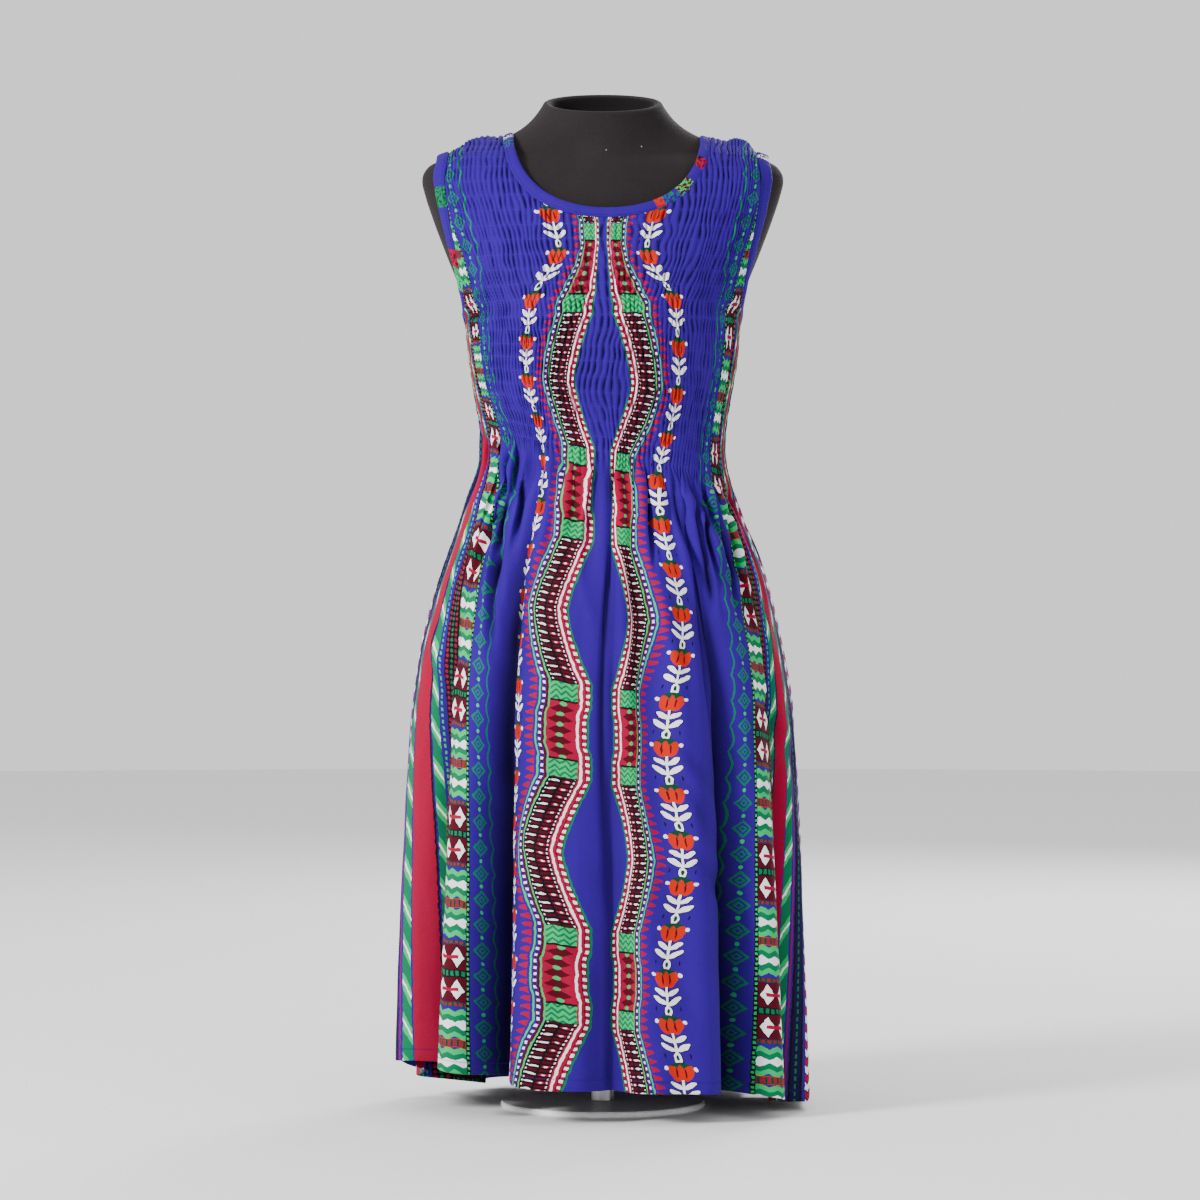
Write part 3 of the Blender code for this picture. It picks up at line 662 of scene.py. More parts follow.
def smock_grid(side):
    """A panel's cloth from the shoulder to the end of the shirring."""
    steps = (np.linspace(0, 1, YOKE_ROWS + 1), np.linspace(1, 2, BODICE_ROWS + 1)[1:])
    across, level = np.meshgrid(np.linspace(-1, 1, SMOCK_COLUMNS + 1), np.concatenate(steps))
    yoke, yoke_normal = yoke_grid(side, YOKE_ROWS, SMOCK_COLUMNS)
    below = len(yoke)
    points = np.concatenate((yoke, trunk_points(side, across[below:], level[below:])))
    normal = grid_normals(side, points)
    normal[: YOKE_ROWS - 2] = yoke_normal[: YOKE_ROWS - 2]
    x, z = points[..., 0], points[..., 2]

    # Flat places: straight lines up the yoke and columns below the chest. The neck draws the print's lines
    # together, and the crinkles are counted on the even ones.
    width = form_sizes(np.minimum(z, SHOULDER_Z))[0] + EASE
    straight = np.arcsin(np.minimum(np.abs(x) / width, 1.0) ** (FULLNESS / 2)) / (math.pi / 2)
    climb = smooth_step((z - CHEST_Z) / NECK_CLIMB)
    drawn = straight + NECK_DRAW * climb * (1 - np.exp(-straight / 0.11)) * (1 - straight) ** 2
    in_yoke = smooth_step((1 - level) / 0.2)
    u, even_u = (
        flat_across(side, mix(across, np.copysign(lines, x), in_yoke), across, level)
        for lines in (drawn, straight)
    )
    v = np.where(level <= 1, -np.interp(z, MERIDIAN_Z, MERIDIAN_LENGTH), (level - 1) * SMOCK_LENGTH)

    ridges, crinkle, groove = shirring(even_u, v)
    off_top = smooth_step(level / 0.05)
    sag = SAG * noise(across * 7, v / 0.06, 11) * off_top * smooth_step((2 - level) / 0.05)
    rise = STAND_OFF + (RIB_RISE * ridges * mix(0.4, 1.0, off_top) + sag) * seam_share(across)
    rise += shoulder_puff(x) * bell(level, 0.075)
    shell = points + normal * rise[..., None]
    # Painted light on the crinkles' ridges and painted shade in their valleys, by their height.
    return Cloth(shell, normal, u, v, np.clip(ridges * 0.9, 0, 1), crinkle, groove)


def skirt_grid(side):
    """The same of its skirt, where the crinkles fade into gathers, ripples, crumples and creases."""
    across, down = np.meshgrid(
        np.linspace(-1, 1, SKIRT_COLUMNS + 1), np.linspace(0, 1, SKIRT_ROWS + 1) ** 1.12
    )
    points = trunk_points(side, across, 2 + down)
    normal = grid_normals(side, points)
    length = reached_along(points)
    u, v = flat_across(side, across, across, 2 + down), SMOCK_LENGTH + length
    seed = 20 if side == "front" else 40
    wander = across * 15 + 1.5 * noise(across * 4, length / 0.1, seed)
    pleat = 1 - 2 * np.abs(noise(wander, length / 0.16, seed + 1))
    pleat = np.copysign(np.abs(pleat) ** 0.8, pleat)
    gather = pleat * (GATHER * np.exp(-length / 0.060) + LONG_GATHER * np.exp(-length / 0.26))
    ripple = RIPPLE * noise(across * 10, length / 0.42, seed + 2) * smooth_step(length / 0.10)
    ripple += SMALL_RIPPLE * noise(across * 19 + 2, length / 0.24, seed + 3)
    crumple = CRUMPLE * noise(across * 26, length / 0.035, seed + 4) * mix(1, 0.45, down)
    creases, crease_shades = crease_rise(side, across, down)
    free = smooth_step((1 - np.abs(across)) / 0.05) * smooth_step(length / 0.026)

    ridges, crinkle, groove = shirring(u, v)
    leave = bell(length, 0.022 + 0.010 * noise(across * 12, 0 * across, seed + 5))
    rise = STAND_OFF + RIB_RISE * ridges * leave * seam_share(across)
    rise += (gather + ripple + crumple + creases) * free
    shell = points + normal * rise[..., None]
    # Painted shade in the folds' valleys and the creases, painted light on swells and gathers' crests, and
    # near the shirring the crinkles' painted light and shade.
    shade = fold_rise(side, across, down)[1] + (crease_shades / SLIT_DEPTH) ** 1.7
    relief = np.clip(0.84 - shade + (gather + crumple) / 0.008, -0.70, 1)
    relief = mix(relief, np.clip(ridges * 0.9, 0, 1), leave)
    return Cloth(shell, normal, u, v, relief, crinkle, groove * leave)


def with_hem(skirt):
    """The skirt with its hem, rolled over the fold and turned up inside."""
    turns, backs = np.radians((50, 90, 130, 180)), np.array((0.35, 0.7, 1.0))
    below = np.concatenate((HEM_ROLL * np.sin(turns), -HEM_DEEP * backs))
    inside = np.concatenate((HEM_ROLL * (1 - np.cos(turns)), 2 * HEM_ROLL - 0.0004 * backs))
    along = np.concatenate((HEM_ROLL * turns, HEM_TURN + HEM_DEEP * backs))
    down = unit(skirt.points[-1] - skirt.points[-3])
    rows = skirt.points[-1] + down * below[:, None, None] - skirt.normal[-1] * inside[:, None, None]
    hem = Cloth(*(np.repeat(field[-1:], len(below), axis=0) for field in skirt))
    hem = hem._replace(points=rows, v=hem.v + along[:, None])
    return Cloth(*(np.concatenate(pair) for pair in zip(skirt, hem)))


# ---------------------------------------------------------------- meshes
def add(name, data):
    """A new object in the scene."""
    made = bpy.data.objects.new(name, data)
    bpy.context.scene.collection.objects.link(made)
    return made


def mesh_from(name, points, faces, materials):
    """A smooth mesh object on the root body, from points and face tuples."""
    mesh = bpy.data.meshes.new(name)
    mesh.from_pydata(points.reshape(-1, 3).tolist(), [], faces)
    mesh.shade_smooth()
    for material in materials:
        mesh.materials.append(material)
    made = add(name, mesh)
    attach(made, "root")
    return made


def grid_faces(rows, columns, first=0, flip=False, closed=False, looped=False):
    """Quads of a grid of points, row after row: closed joins its sides, looped its ends."""
    faces = []
    for i in range(rows if looped else rows - 1):
        a, b = first + i * columns, first + (i + 1) % rows * columns
        for j in range(columns if closed else columns - 1):
            k = (j + 1) % columns
            quad = (a + j, a + k, b + k, b + j)
            faces.append(quad[::-1] if flip else quad)
    return faces


def tube_faces(rings, sides):
    """Quads round a tube's rings, and a face over each of its ends."""
    ends = [tuple(range(sides))[::-1], tuple(range((rings - 1) * sides, rings * sides))]
    return grid_faces(rings, sides, closed=True) + ends


def add_flat_map(made, u, v):
    """The map of the flat cloth, in metres, as a UV map."""
    mesh = made.data
    corner = np.zeros(len(mesh.loops), np.int32)
    mesh.loops.foreach_get("vertex_index", corner)
    layer = mesh.uv_layers.new(name="print")
    layer.data.foreach_set("uv", np.stack((u[corner], v[corner]), -1).astype(np.float32).ravel())


def add_number(made, name, values):
    layer = made.data.attributes.new(name, "FLOAT", "POINT")
    layer.data.foreach_set("value", values.astype(np.float32))


def make_panel(side, materials):
    """The visible cloth of a panel as one shell; gives its two grids as well."""
    smock, skirt = smock_grid(side), skirt_grid(side)
    lower = with_hem(skirt)
    flip = side == "front"
    faces = grid_faces(len(smock.points), SMOCK_COLUMNS + 1, flip=flip)
    # The skirt's first row is left out: it is every second point of the last shirred row.
    start = smock.u.size
    last = start - SMOCK_COLUMNS - 1
    for j in range(SKIRT_COLUMNS):
        a, b = last + 2 * j, start + j
        for three in ((a, a + 1, b), (a + 1, b + 1, b), (a + 1, a + 2, b + 1)):
            faces.append(three[::-1] if flip else three)
    faces += grid_faces(len(lower.points) - 1, SKIRT_COLUMNS + 1, first=start, flip=flip)

    def whole(field):
        rows = getattr(smock, field), getattr(lower, field)[1:]
        return np.concatenate([row for grid in rows for row in grid])

    made = mesh_from(f"{side}_cloth", whole("points"), faces, materials)
    flat_u = whole("u")
    add_flat_map(made, flat_u, whole("v"))
    for field in ("relief", "crinkle", "groove"):
        add_number(made, field, whole(field))
    # The middle of the cloth takes one print, its side borders the other.
    beside = [abs(flat_u[face[0]]) > FIELD_END for face in faces]
    made.data.polygons.foreach_set("material_index", np.array(beside, np.int32))
    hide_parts(f"{side}_panel")
    return made, smock, skirt


def tube_along(path, normals, radius, sides):
    """Points and faces of a thin tube along a path."""
    ahead = unit(np.gradient(path, axis=0))
    beside = unit(np.cross(ahead, normals))
    above = unit(np.cross(beside, ahead))
    turns = (2 * math.pi * np.arange(sides) / sides)[None, :, None]
    ring = np.cos(turns) * above[:, None] + np.sin(turns) * beside[:, None]
    rings = path[:, None] + ring * np.broadcast_to(radius, (len(path),))[:, None, None]
    return rings.reshape(-1, 3), tube_faces(len(path), sides)


def joined(parts):
    """Several (points, faces) as one."""
    points, faces, base = [], [], 0
    for some, their in parts:
        points.append(some)
        faces += [tuple(base + i for i in f) for f in their]
        base += len(some)
    return np.concatenate(points), faces


def make_elastic(side, cloth, material):
    """The elastic threads of the shirring, one along each pinched row."""
    points, normal, v = cloth.points, cloth.normal, cloth.v
    parts = []
    for k in range(int(v.min() / ELASTIC_PITCH), int(SMOCK_LENGTH / ELASTIC_PITCH) + 1):
        level = k * ELASTIC_PITCH
        # Threads keep clear of the side seams, the first rows and the end of the shirring.
        columns = np.arange(3, points.shape[1] - 3, 2)
        columns = columns[(v[3, columns] < level) & (level < v[-1, columns] - 0.001)]
        for run in np.split(columns, np.flatnonzero(np.diff(columns) > 2) + 1):
            if len(run) <= 6:
                continue
            row = np.array([np.searchsorted(v[:, j], level) - 1 for j in run])
            t = ((level - v[row, run]) / (v[row + 1, run] - v[row, run]))[:, None]
            path = mix(points[row, run], points[row + 1, run], t)
            out = unit(mix(normal[row, run], normal[row + 1, run], t))
            parts.append(tube_along(path - out * 0.00002, out, ELASTIC_RADIUS, 3))
    mesh_from(f"{side}_elastic_rows", *joined(parts), [material])


# Along a stitch: share of its length, millimetres over the cloth and share of its thickness.
STITCH = ((0, -0.25, 0.5), (0.12, 0.12, 0.9), (0.5, 0.3, 1.0), (0.88, 0.12, 0.9), (1, -0.25, 0.5))
STITCH_PITCH, STITCH_LENGTH, STITCH_RADIUS = 0.0030, 0.0022, 0.00028


def stitch_run(points, normals):
    """Short stitches laid one after another along a path."""
    reached = reached_along(points)
    share, lift, thickness = np.array(STITCH).T
    parts = []
    for start in np.arange(0.001, reached[-1] - STITCH_LENGTH, STITCH_PITCH):
        path, out = (
            np.stack([np.interp(start + STITCH_LENGTH * share, reached, row) for row in rows.T], -1)
            for rows in (points, normals)
        )
        out = unit(out)
        parts.append(tube_along(path + out * lift[:, None] / 1000, out, STITCH_RADIUS * thickness, 5))
    return parts


NECK_POINTS, ARM_POINTS = 360, 300       # round the neckline and round an armhole


def neck_edge(inset):
    """Heights and angles round the neckline at a distance in from the sewn edge."""
    found = []
    for turn in 4 * np.arange(NECK_POINTS) / NECK_POINTS:
        side = "front" if turn < 2 else "back"
        across = NECK_SHARE * (turn - 1 if turn < 2 else 3 - turn)
        x, z = column_top(side, across, inset)
        angle = math.copysign(math.pi / 2, across)
        if abs(across) < NECK_SHARE:
            angle = angle_of(form_sizes(z), x)
        found.append((z, facing(side, angle)))
    return np.array(found).T


def arm_edge(hand, inset):
    """The same round an armhole, from the underarm round by the front."""
    middle, half = armhole_span(inset)
    found = []
    for turn in 2 * math.pi * np.arange(ARM_POINTS) / ARM_POINTS:
        side = "front" if turn <= math.pi else "back"
        height = middle - half * math.copysign(abs(math.cos(turn)) ** (2 / ARMHOLE_ROUND), math.cos(turn))
        found.append((height, facing(side, armhole_angle(side, height, inset)) * hand))
    return np.array(found).T


PUCKER, SWAY = 0.00030, 0.00022          # how far a binding wavers, closely and slowly
SEAM_DENT, SEAM_AT = 0.0006, 0.16        # depth that its stitches pull in, and where on its width
# A binding's section: distance in from the sewn edge as a share of its width, height over the cloth.
BAND_SECTION = (
    (-0.06, 0.0010), (-0.075, 0.0022), (-0.03, 0.0033), (0.08, 0.0040), (0.30, 0.0041), (0.55, 0.0042),
    (0.80, 0.0040), (0.95, 0.0031), (1.01, 0.0017), (1.00, 0.0004), (0.93, -0.0006), (0.75, -0.0003),
)


def make_binding(name, edge, materials, seed):
    """A folded strip over an edge, slightly puckered by its seams, and the row of stitches in it."""
    rails, normals = [], []
    for share, _ in BAND_SECTION:
        place = edge(max(share, 0.0) * BINDING)
        rail = form_point(*place)
        if share < 0:
            rail = rail + unit(rail - form_point(*edge(0.002))) * (-share * BINDING)
        rails.append(rail)
        normals.append(form_normal(*place))
    reached = reached_along(np.concatenate((rails[4], rails[4][:1])))
    reached, turn = reached[:-1], reached[:-1] / reached[-1] * 2 * math.pi
    rings = []
    for rail, normal, (share, out) in zip(rails, normals, BAND_SECTION):
        rise = EASE + out + 0 * reached
        if out > 0.0005:
            rise += PUCKER * noise(reached / 0.006, share * 3 + 0 * reached, seed)
            rise += SWAY * np.sin(turn * 11 + seed)
        if out > 0.002:
            rise -= SEAM_DENT * bell(share - SEAM_AT, 0.09)
        rings.append(rail + normal * rise[:, None])
    grid = np.stack(rings, 1)
    count, around = grid.shape[:2]
    faces = grid_faces(count, around, closed=True, looped=True)
    made = mesh_from(name + "_band", grid, faces, materials)
    shares = np.cumsum(np.linalg.norm(np.diff(grid, axis=1, prepend=grid[:, :1]), axis=-1), axis=1)
    add_flat_map(made, np.repeat(reached, around), shares.ravel())
    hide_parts(name)
    seam = mix(rings[3], rings[4], 0.35) + normals[3] * 0.00005
    return made, stitch_run(*(np.concatenate((row, row[:1])) for row in (seam, normals[3])))


# ---------------------------------------------------------------- shader nodes
class Net:
    """A material's node tree, with short calls for its nodes."""

    def __init__(self, name):
        self.material = bpy.data.materials.new(name)
        self.material.use_nodes = True
        self.tree = self.material.node_tree
        self.shader = self.tree.nodes["Principled BSDF"]

    def node(self, kind, values=(), **settings):
        made = self.tree.nodes.new("ShaderNode" + kind)
        for key, value in settings.items():
            setattr(made, key, value)
        for key, value in dict(values).items():
            self.feed(made.inputs[key], value)
        return made

    def feed(self, socket, value):
        if isinstance(value, Number):
            value = value.socket
        if isinstance(value, bpy.types.NodeSocket):
            self.tree.links.new(value, socket)
        else:
            socket.default_value = value

    def surface(self, **values):
        """The material with these shader inputs, whose names are written with low lines for spaces."""
        for name, value in values.items():
            self.feed(self.shader.inputs[name.replace("_", " ")], value)
        return self.material

    def flat_map(self):
        return self.node("UVMap", uv_map="print").outputs[0]

    def flat(self):
        """The two coordinates of the flat cloth."""
        parts = self.node("SeparateXYZ", {0: self.flat_map()})
        return Number(self, parts.outputs[0]), Number(self, parts.outputs[1])

    def place(self):
        return self.node("TexCoord").outputs["Object"]

    def noise(self, where, scale, detail=2.0, stretch=None):
        if stretch:
            where = self.node("Mapping", {"Vector": where, "Scale": stretch}).outputs[0]
        made = self.node("TexNoise", {"Vector": where, "Scale": scale, "Detail": detail})
        return Number(self, made.outputs["Fac"])

    def number(self, name):
        return Number(self, self.node("Attribute", attribute_name=name).outputs["Fac"])

    def ramp(self, value, stops, constant=False):
        made = self.node("ValToRGB", {0: value})
        elements = made.color_ramp.elements
        made.color_ramp.interpolation = "CONSTANT" if constant else "LINEAR"
        while len(elements) < len(stops):
            elements.new(0.5)
        for element, (at, colour) in zip(elements, stops):
            element.position = at
            element.color = (*colour, 1.0)
        return made.outputs[0]

    def blend(self, share, first, second, mode="MIX"):
        first, second = ((*c, 1.0) if isinstance(c, tuple) else c for c in (first, second))
        values = {0: share, 6: first, 7: second}
        return self.node("Mix", values, data_type="RGBA", blend_type=mode).outputs[2]

    def bump(self, height, distance, strength=1.0, under=None):
        values = {"Height": height, "Distance": distance, "Strength": strength}
        if under:
            values["Normal"] = under
        return self.node("Bump", values).outputs[0]


def operation(name):
    """A method of Number that gives a math node's result for it and other numbers."""

    def method(number, *others):
        values = dict(enumerate((number, *others)))
        return Number(number.net, number.net.node("Math", values, operation=name).outputs[0])

    return method


class Number:
    """A number that a node gives, with plain arithmetic."""

    def __init__(self, net, socket):
        self.net, self.socket = net, socket

    __add__ = operation("ADD")
    __sub__ = operation("SUBTRACT")
    __mul__ = operation("MULTIPLY")
    __lt__ = operation("LESS_THAN")
    __gt__ = operation("GREATER_THAN")
    __abs__ = operation("ABSOLUTE")
    power = operation("POWER")
    sine = operation("SINE")
    cosine = operation("COSINE")
    least = operation("MINIMUM")
    most = operation("MAXIMUM")
    times_plus = operation("MULTIPLY_ADD")
    near = operation("COMPARE")          # 1 where the number lies within a half width of a middle
    wrap = operation("WRAP")
    bounce = operation("PINGPONG")

    def __rsub__(self, other):
        values = {0: other, 1: self}
        return Number(self.net, self.net.node("Math", values, operation="SUBTRACT").outputs[0])

    def span(self, low, high):
        return self.near((low + high) / 2, (high - low) / 2)

    def repeat(self, pitch, start=0.0):
        """The distance from the middle of the cell of a repeat."""
        return (self - start).wrap(pitch / 2, -pitch / 2)

    def dashes(self, pitch, half, start=0.0):
        """1 on the dashes of a repeat."""
        return abs(self.repeat(pitch, start)) < half

    def zigzag(self, pitch, size):
        """A triangle wave from 0 to size."""
        return self.bounce(pitch / 2) * (2 * size / pitch)


def either(*masks):
    return functools.reduce(Number.most, masks)


def oval(p, q, half_p, half_q, turn=0.0):
    """1 inside an oval, turned by some degrees."""
    c, s = math.cos(math.radians(turn)), math.sin(math.radians(turn))
    if turn:
        p, q = p * c + q * s, q * c - p * s
    p, q = p * (1 / half_p), q * (1 / half_q)
    return p.times_plus(p, q * q) < 1.0


# The dye colours of the print, in the order that the paint calls number them.
DYES = {
    "blue": (0.0225, 0.000, 0.185),
    "navy": (0.005, 0.002, 0.040),
    "black": (0.004, 0.002, 0.005),
    "maroon": (0.065, 0.000, 0.006),
    "crimson": (0.270, 0.000, 0.026),
    "orange": (0.440, 0.012, 0.000),
    "lime": (0.010, 0.380, 0.100),
    "emerald": (0.000, 0.135, 0.055),
    "forest": (0.000, 0.040, 0.018),
    "white": (0.760, 0.750, 0.780),
}
DYE = {name: (index + 0.5) / len(DYES) for index, name in enumerate(DYES)}


class Print:
    """Painting with the dyes, one mask over another."""

    def __init__(self, net):
        self.net = net
        self.number = DYE["blue"]

    def paint(self, mask, dye):
        """A dye, or a number from choice, inside a mask."""
        values = {0: mask, 2: self.number, 3: DYE.get(dye, dye)}
        self.number = Number(self.net, self.net.node("Mix", values, data_type="FLOAT").outputs[0])

    def stripes(self, across, along, rows):
        """Stripes from one place across to another, dashed where a row ends with a pitch and half length."""
        for low, high, dye, *dashes in rows:
            mask = across.span(low, high)
            self.paint(mask * along.dashes(*dashes) if dashes else mask, dye)

    def choice(self, mask, first, second):
        """A number that is one dye inside a mask and another outside it."""
        return mask * (DYE[first] - DYE[second]) + DYE[second]

    def colour(self):
        stops = [(index / len(DYES), colour) for index, colour in enumerate(DYES.values())]
        return self.net.ramp(self.number, stops, constant=True)


WAVER = 0.0026           # how far the print wanders, as hand cut blocks do


def wavering(net):
    """The flat cloth's coordinates with the small wander of a hand cut block."""
    made = net.node("TexNoise", {"Vector": net.flat_map(), "Scale": 160.0, "Detail": 1.0})
    parts = net.node("SeparateColor", {0: made.outputs["Color"]}).outputs
    return [Number(net, part).times_plus(WAVER, c - WAVER / 2) for c, part in zip(net.flat(), parts)]


MEDALLION_PITCH, MEDALLION_AT = 0.254, 0.075
LOZENGE_HALF = 0.0765    # from the middle of a lozenge to the bar that links it to the next
SPRIG_PITCH, SPRIG_AT = 0.048, 0.008


def field_print(net):
    """The middle of a panel: a chain of stepped lozenges between two rows of sprigs."""
    u, v = wavering(net)
    side = abs(u)
    ink = Print(net)
    paint = ink.paint
    along = abs(v.repeat(MEDALLION_PITCH, MEDALLION_AT))
    half = (0.0680 - (along * (1 / LOZENGE_HALF)).power(1.35) * 0.0230).most(0.0450)
    half = half + ((along - 0.100) * 0.25).most(0.0).least(0.003)
    off = side - half
    ticks = abs(v.repeat(0.0085))

    # Outside the chain: drops, a dotted line and two thin lines.
    paint(off.span(0.0130, 0.0220) * (ticks < (0.0250 - off) * 0.28), "crimson")
    ink.stripes(off, v, (
        (0.0091, 0.0109, "lime"), (0.0050, 0.0074, "white", 0.0066, 0.0014),
        (0.0051, 0.0073, "maroon", 0.0066, 0.0011, 0.0033), (0.0022, 0.0042, "maroon"),
        (0.0006, 0.0022, "lime"),
    ))

    # The chain's broad band: dashes round the lozenges, blocks along the bars.
    band = off.span(-0.0235, 0.0006)
    paint(band, "black")
    comb = abs(v.repeat(0.00425))
    paint(off.span(-0.0222, -0.0012) * (comb < 0.0012), "maroon")
    paint(off.near(-0.0117, 0.0009), "black")
    paint(oval(off + 0.0068, ticks, 0.0040, 0.0010), "white")
    paint(oval(off + 0.0018, comb, 0.0008, 0.0008), "white")
    paint(oval(off + 0.0168, ticks, 0.0036, 0.0014), "crimson")
    paint(oval(off + 0.0168, ticks, 0.0016, 0.0007), "white")
    paint(off.near(-0.0220, 0.0006) * (comb < 0.0010), "white")
    bar = band * (along > LOZENGE_HALF)
    chevrons = (side.zigzag(0.0090, 0.0045) + v).dashes(0.0060, 0.0013)
    paint(bar * along.span(LOZENGE_HALF, 0.0960), ink.choice(chevrons, "emerald", "lime"))
    teeth = abs(off + 0.0112) < (abs(v.repeat(0.0110)) * 1.9)
    paint(bar * (along > 0.0975), ink.choice(teeth, "maroon", "crimson"))
    paint(bar * (along > 0.0975) * oval(off + 0.0112, v.repeat(0.0110), 0.0032, 0.0022), "lime")
    paint(bar * along.near(0.0967, 0.0010), "black")
    paint(bar * along.near(LOZENGE_HALF, 0.0010), "black")

    # Inside the chain: lines that follow it.
    ink.stripes(off, v, (
        (-0.0250, -0.0235, "crimson"), (-0.0272, -0.0250, "white"), (-0.0298, -0.0272, "crimson"),
        (-0.0340, -0.0298, "black"), (-0.0334, -0.0304, "white", 0.0072, 0.0017),
        (-0.0334, -0.0304, "crimson", 0.0072, 0.0015, 0.0036), (-0.0358, -0.0340, "emerald"),
    ))

    # A row of sprigs: a white leafy one, then an orange flower.
    sway = ((v - MEDALLION_AT) * (2 * math.pi / MEDALLION_PITCH)).cosine()
    p = abs(side - 0.0955 - sway * 0.0080)
    q = v.repeat(SPRIG_PITCH, SPRIG_AT)
    for rim, dye in ((0.0008, "black"), (0.0, "white")):
        stem = (p < 0.0011 + rim) * q.span(-0.0170 - rim, 0.0060)
        leaves = oval(p - 0.0068, q + 0.0015, 0.0072 + rim, 0.0026 + rim, -36)
        lower = oval(p - 0.0058, q + 0.0105, 0.0062 + rim, 0.0024 + rim, -36)
        bud = oval(p, q - 0.0095, 0.0034 + rim, 0.0054 + rim)
        paint(either(stem, leaves, lower, bud), dye)
    paint(oval(p - 0.0110, q - 0.0070, 0.0007, 0.0024), "black")
    paint(oval(p, q - 0.0092, 0.0014, 0.0028), "forest")
    r = v.repeat(SPRIG_PITCH, SPRIG_AT + SPRIG_PITCH / 2)
    paint(oval(p, r + 0.0055, 0.0098, 0.0050), "forest")
    cup = oval(p - 0.0056, r - 0.0010, 0.0046, 0.0086, 22)
    paint(either(cup, oval(p, r - 0.0006, 0.0027, 0.0080)), "orange")
    paint(oval(p - 0.0036, r - 0.0010, 0.0008, 0.0050), "maroon")
    paint(oval(p - 0.0125, r + 0.0040, 0.0020, 0.0020), "white")
    return ink


LADDER_PITCH = 0.146
LOZENGE_PITCH, LOZENGES_AT = 0.0270, 0.1935


def border_print(net):
    """The panel's side borders: bands that run from shoulder to hem."""
    u, v = wavering(net)
    side = abs(u)
    ink = Print(net)
    paint = ink.paint
    # Open lozenges inside a waved line.
    wave = abs((v * (math.pi / LOZENGE_PITCH)).sine())
    paint((side - wave * 0.0045).near(0.1745, 0.0012), "emerald")
    lozenge = abs(side - LOZENGES_AT) * 0.95 + abs(v.repeat(LOZENGE_PITCH))
    paint(lozenge.span(0.0066, 0.0096), "emerald")
    paint(lozenge.span(0.0020, 0.0042), "emerald")
    paint(oval(side - LOZENGES_AT, v.repeat(LOZENGE_PITCH, LOZENGE_PITCH / 2), 0.0021, 0.0021), "lime")
    # The ladder: hourglasses, lozenges and leaf blocks between rungs.
    ink.stripes(side, v, ((0.2070, 0.2105, "black"), (0.2078, 0.2098, "lime", 0.0052, 0.0014)))
    ladder = side.span(0.2105, 0.2440)
    p = abs(side - 0.2272)
    paint(ladder, "blue")
    level = abs(v.repeat(LADDER_PITCH))
    paint(ladder * level.span(0.004, 0.030), "maroon")
    hour = abs(level - 0.017)
    for rim, end, dye in ((0.0008, 0.0125, "black"), (0.0032, 0.0110, "white")):
        paint(ladder * (hour * 1.25 + rim < p.zigzag(0.0168, 0.0168)) * (hour < end), dye)
    paint(ladder * (hour < 0.0019) * (p < 0.010), "crimson")
    leaf = abs(level - 0.0530) + p.zigzag(0.0140, 0.0036)
    for reach, dye in ((0.0165, "lime"), (0.0110, "emerald"), (0.0052, "white")):
        paint(ladder * (leaf < reach), dye)
    paint(ladder * (LADDER_PITCH / 2 - level < 0.0045), "orange")
    paint(ladder * (level < 0.0040), "black")
    paint(ladder * (level < 0.0026) * side.dashes(0.0052, 0.0016), "emerald")
    for rung in (0.0325, 0.0715):
        paint(ladder * level.near(rung, 0.0022), "forest")
        paint(ladder * level.near(rung, 0.0013) * side.dashes(0.0050, 0.0014), "crimson")
    # Rows of dots.
    ink.stripes(side, v, ((0.2438, 0.2456, "black"), (0.2456, 0.2610, "black")))
    dots = oval(side.repeat(0.0050, 0.2483), v.repeat(0.0056), 0.0017, 0.0019)
    paint(side.span(0.2460, 0.2606) * dots, "crimson")
    paint(side.span(0.2511, 0.2555) * dots, "emerald")
    paint(side.span(0.2650, 0.2670) * v.dashes(0.0064, 0.0018), "lime")
    # A feathered stripe, a crimson stripe and pin stripes.
    feather = net.noise(net.flat_map(), 60.0, 2.0, (1.0, 0.55, 1.0))
    slant = v + (side + feather * 0.0060) * 1.5
    edge = side + (feather - 0.5) * 0.0030
    for low, high in ((0.2700, 0.2790), (0.3060, 0.3170)):
        stripe = edge.span(low, high)
        paint(stripe, "lime")
        paint(stripe * slant.dashes(0.0420, 0.0115), "emerald")
        paint(stripe * slant.dashes(0.0420, 0.0020, 0.0210), "white")
    ink.stripes(side, v, (
        (0.2815, 0.3045, "crimson"), (0.2802, 0.2818, "black"), (0.3198, 0.3212, "crimson"),
        (0.3235, 0.3380, "black"), (0.3262, 0.3352, "navy"), (0.3298, 0.3316, "emerald", 0.0080, 0.0024),
    ))
    # Chevrons by the seam.
    chevron = abs((v + side.zigzag(0.0150, 0.0075)).repeat(0.0180))
    paint(side.span(0.3420, 0.3570), ink.choice(chevron < 0.0040, "white", "crimson"))
    paint(side.span(0.3420, 0.3570) * chevron.near(0.0045, 0.0009), "black")
    return ink


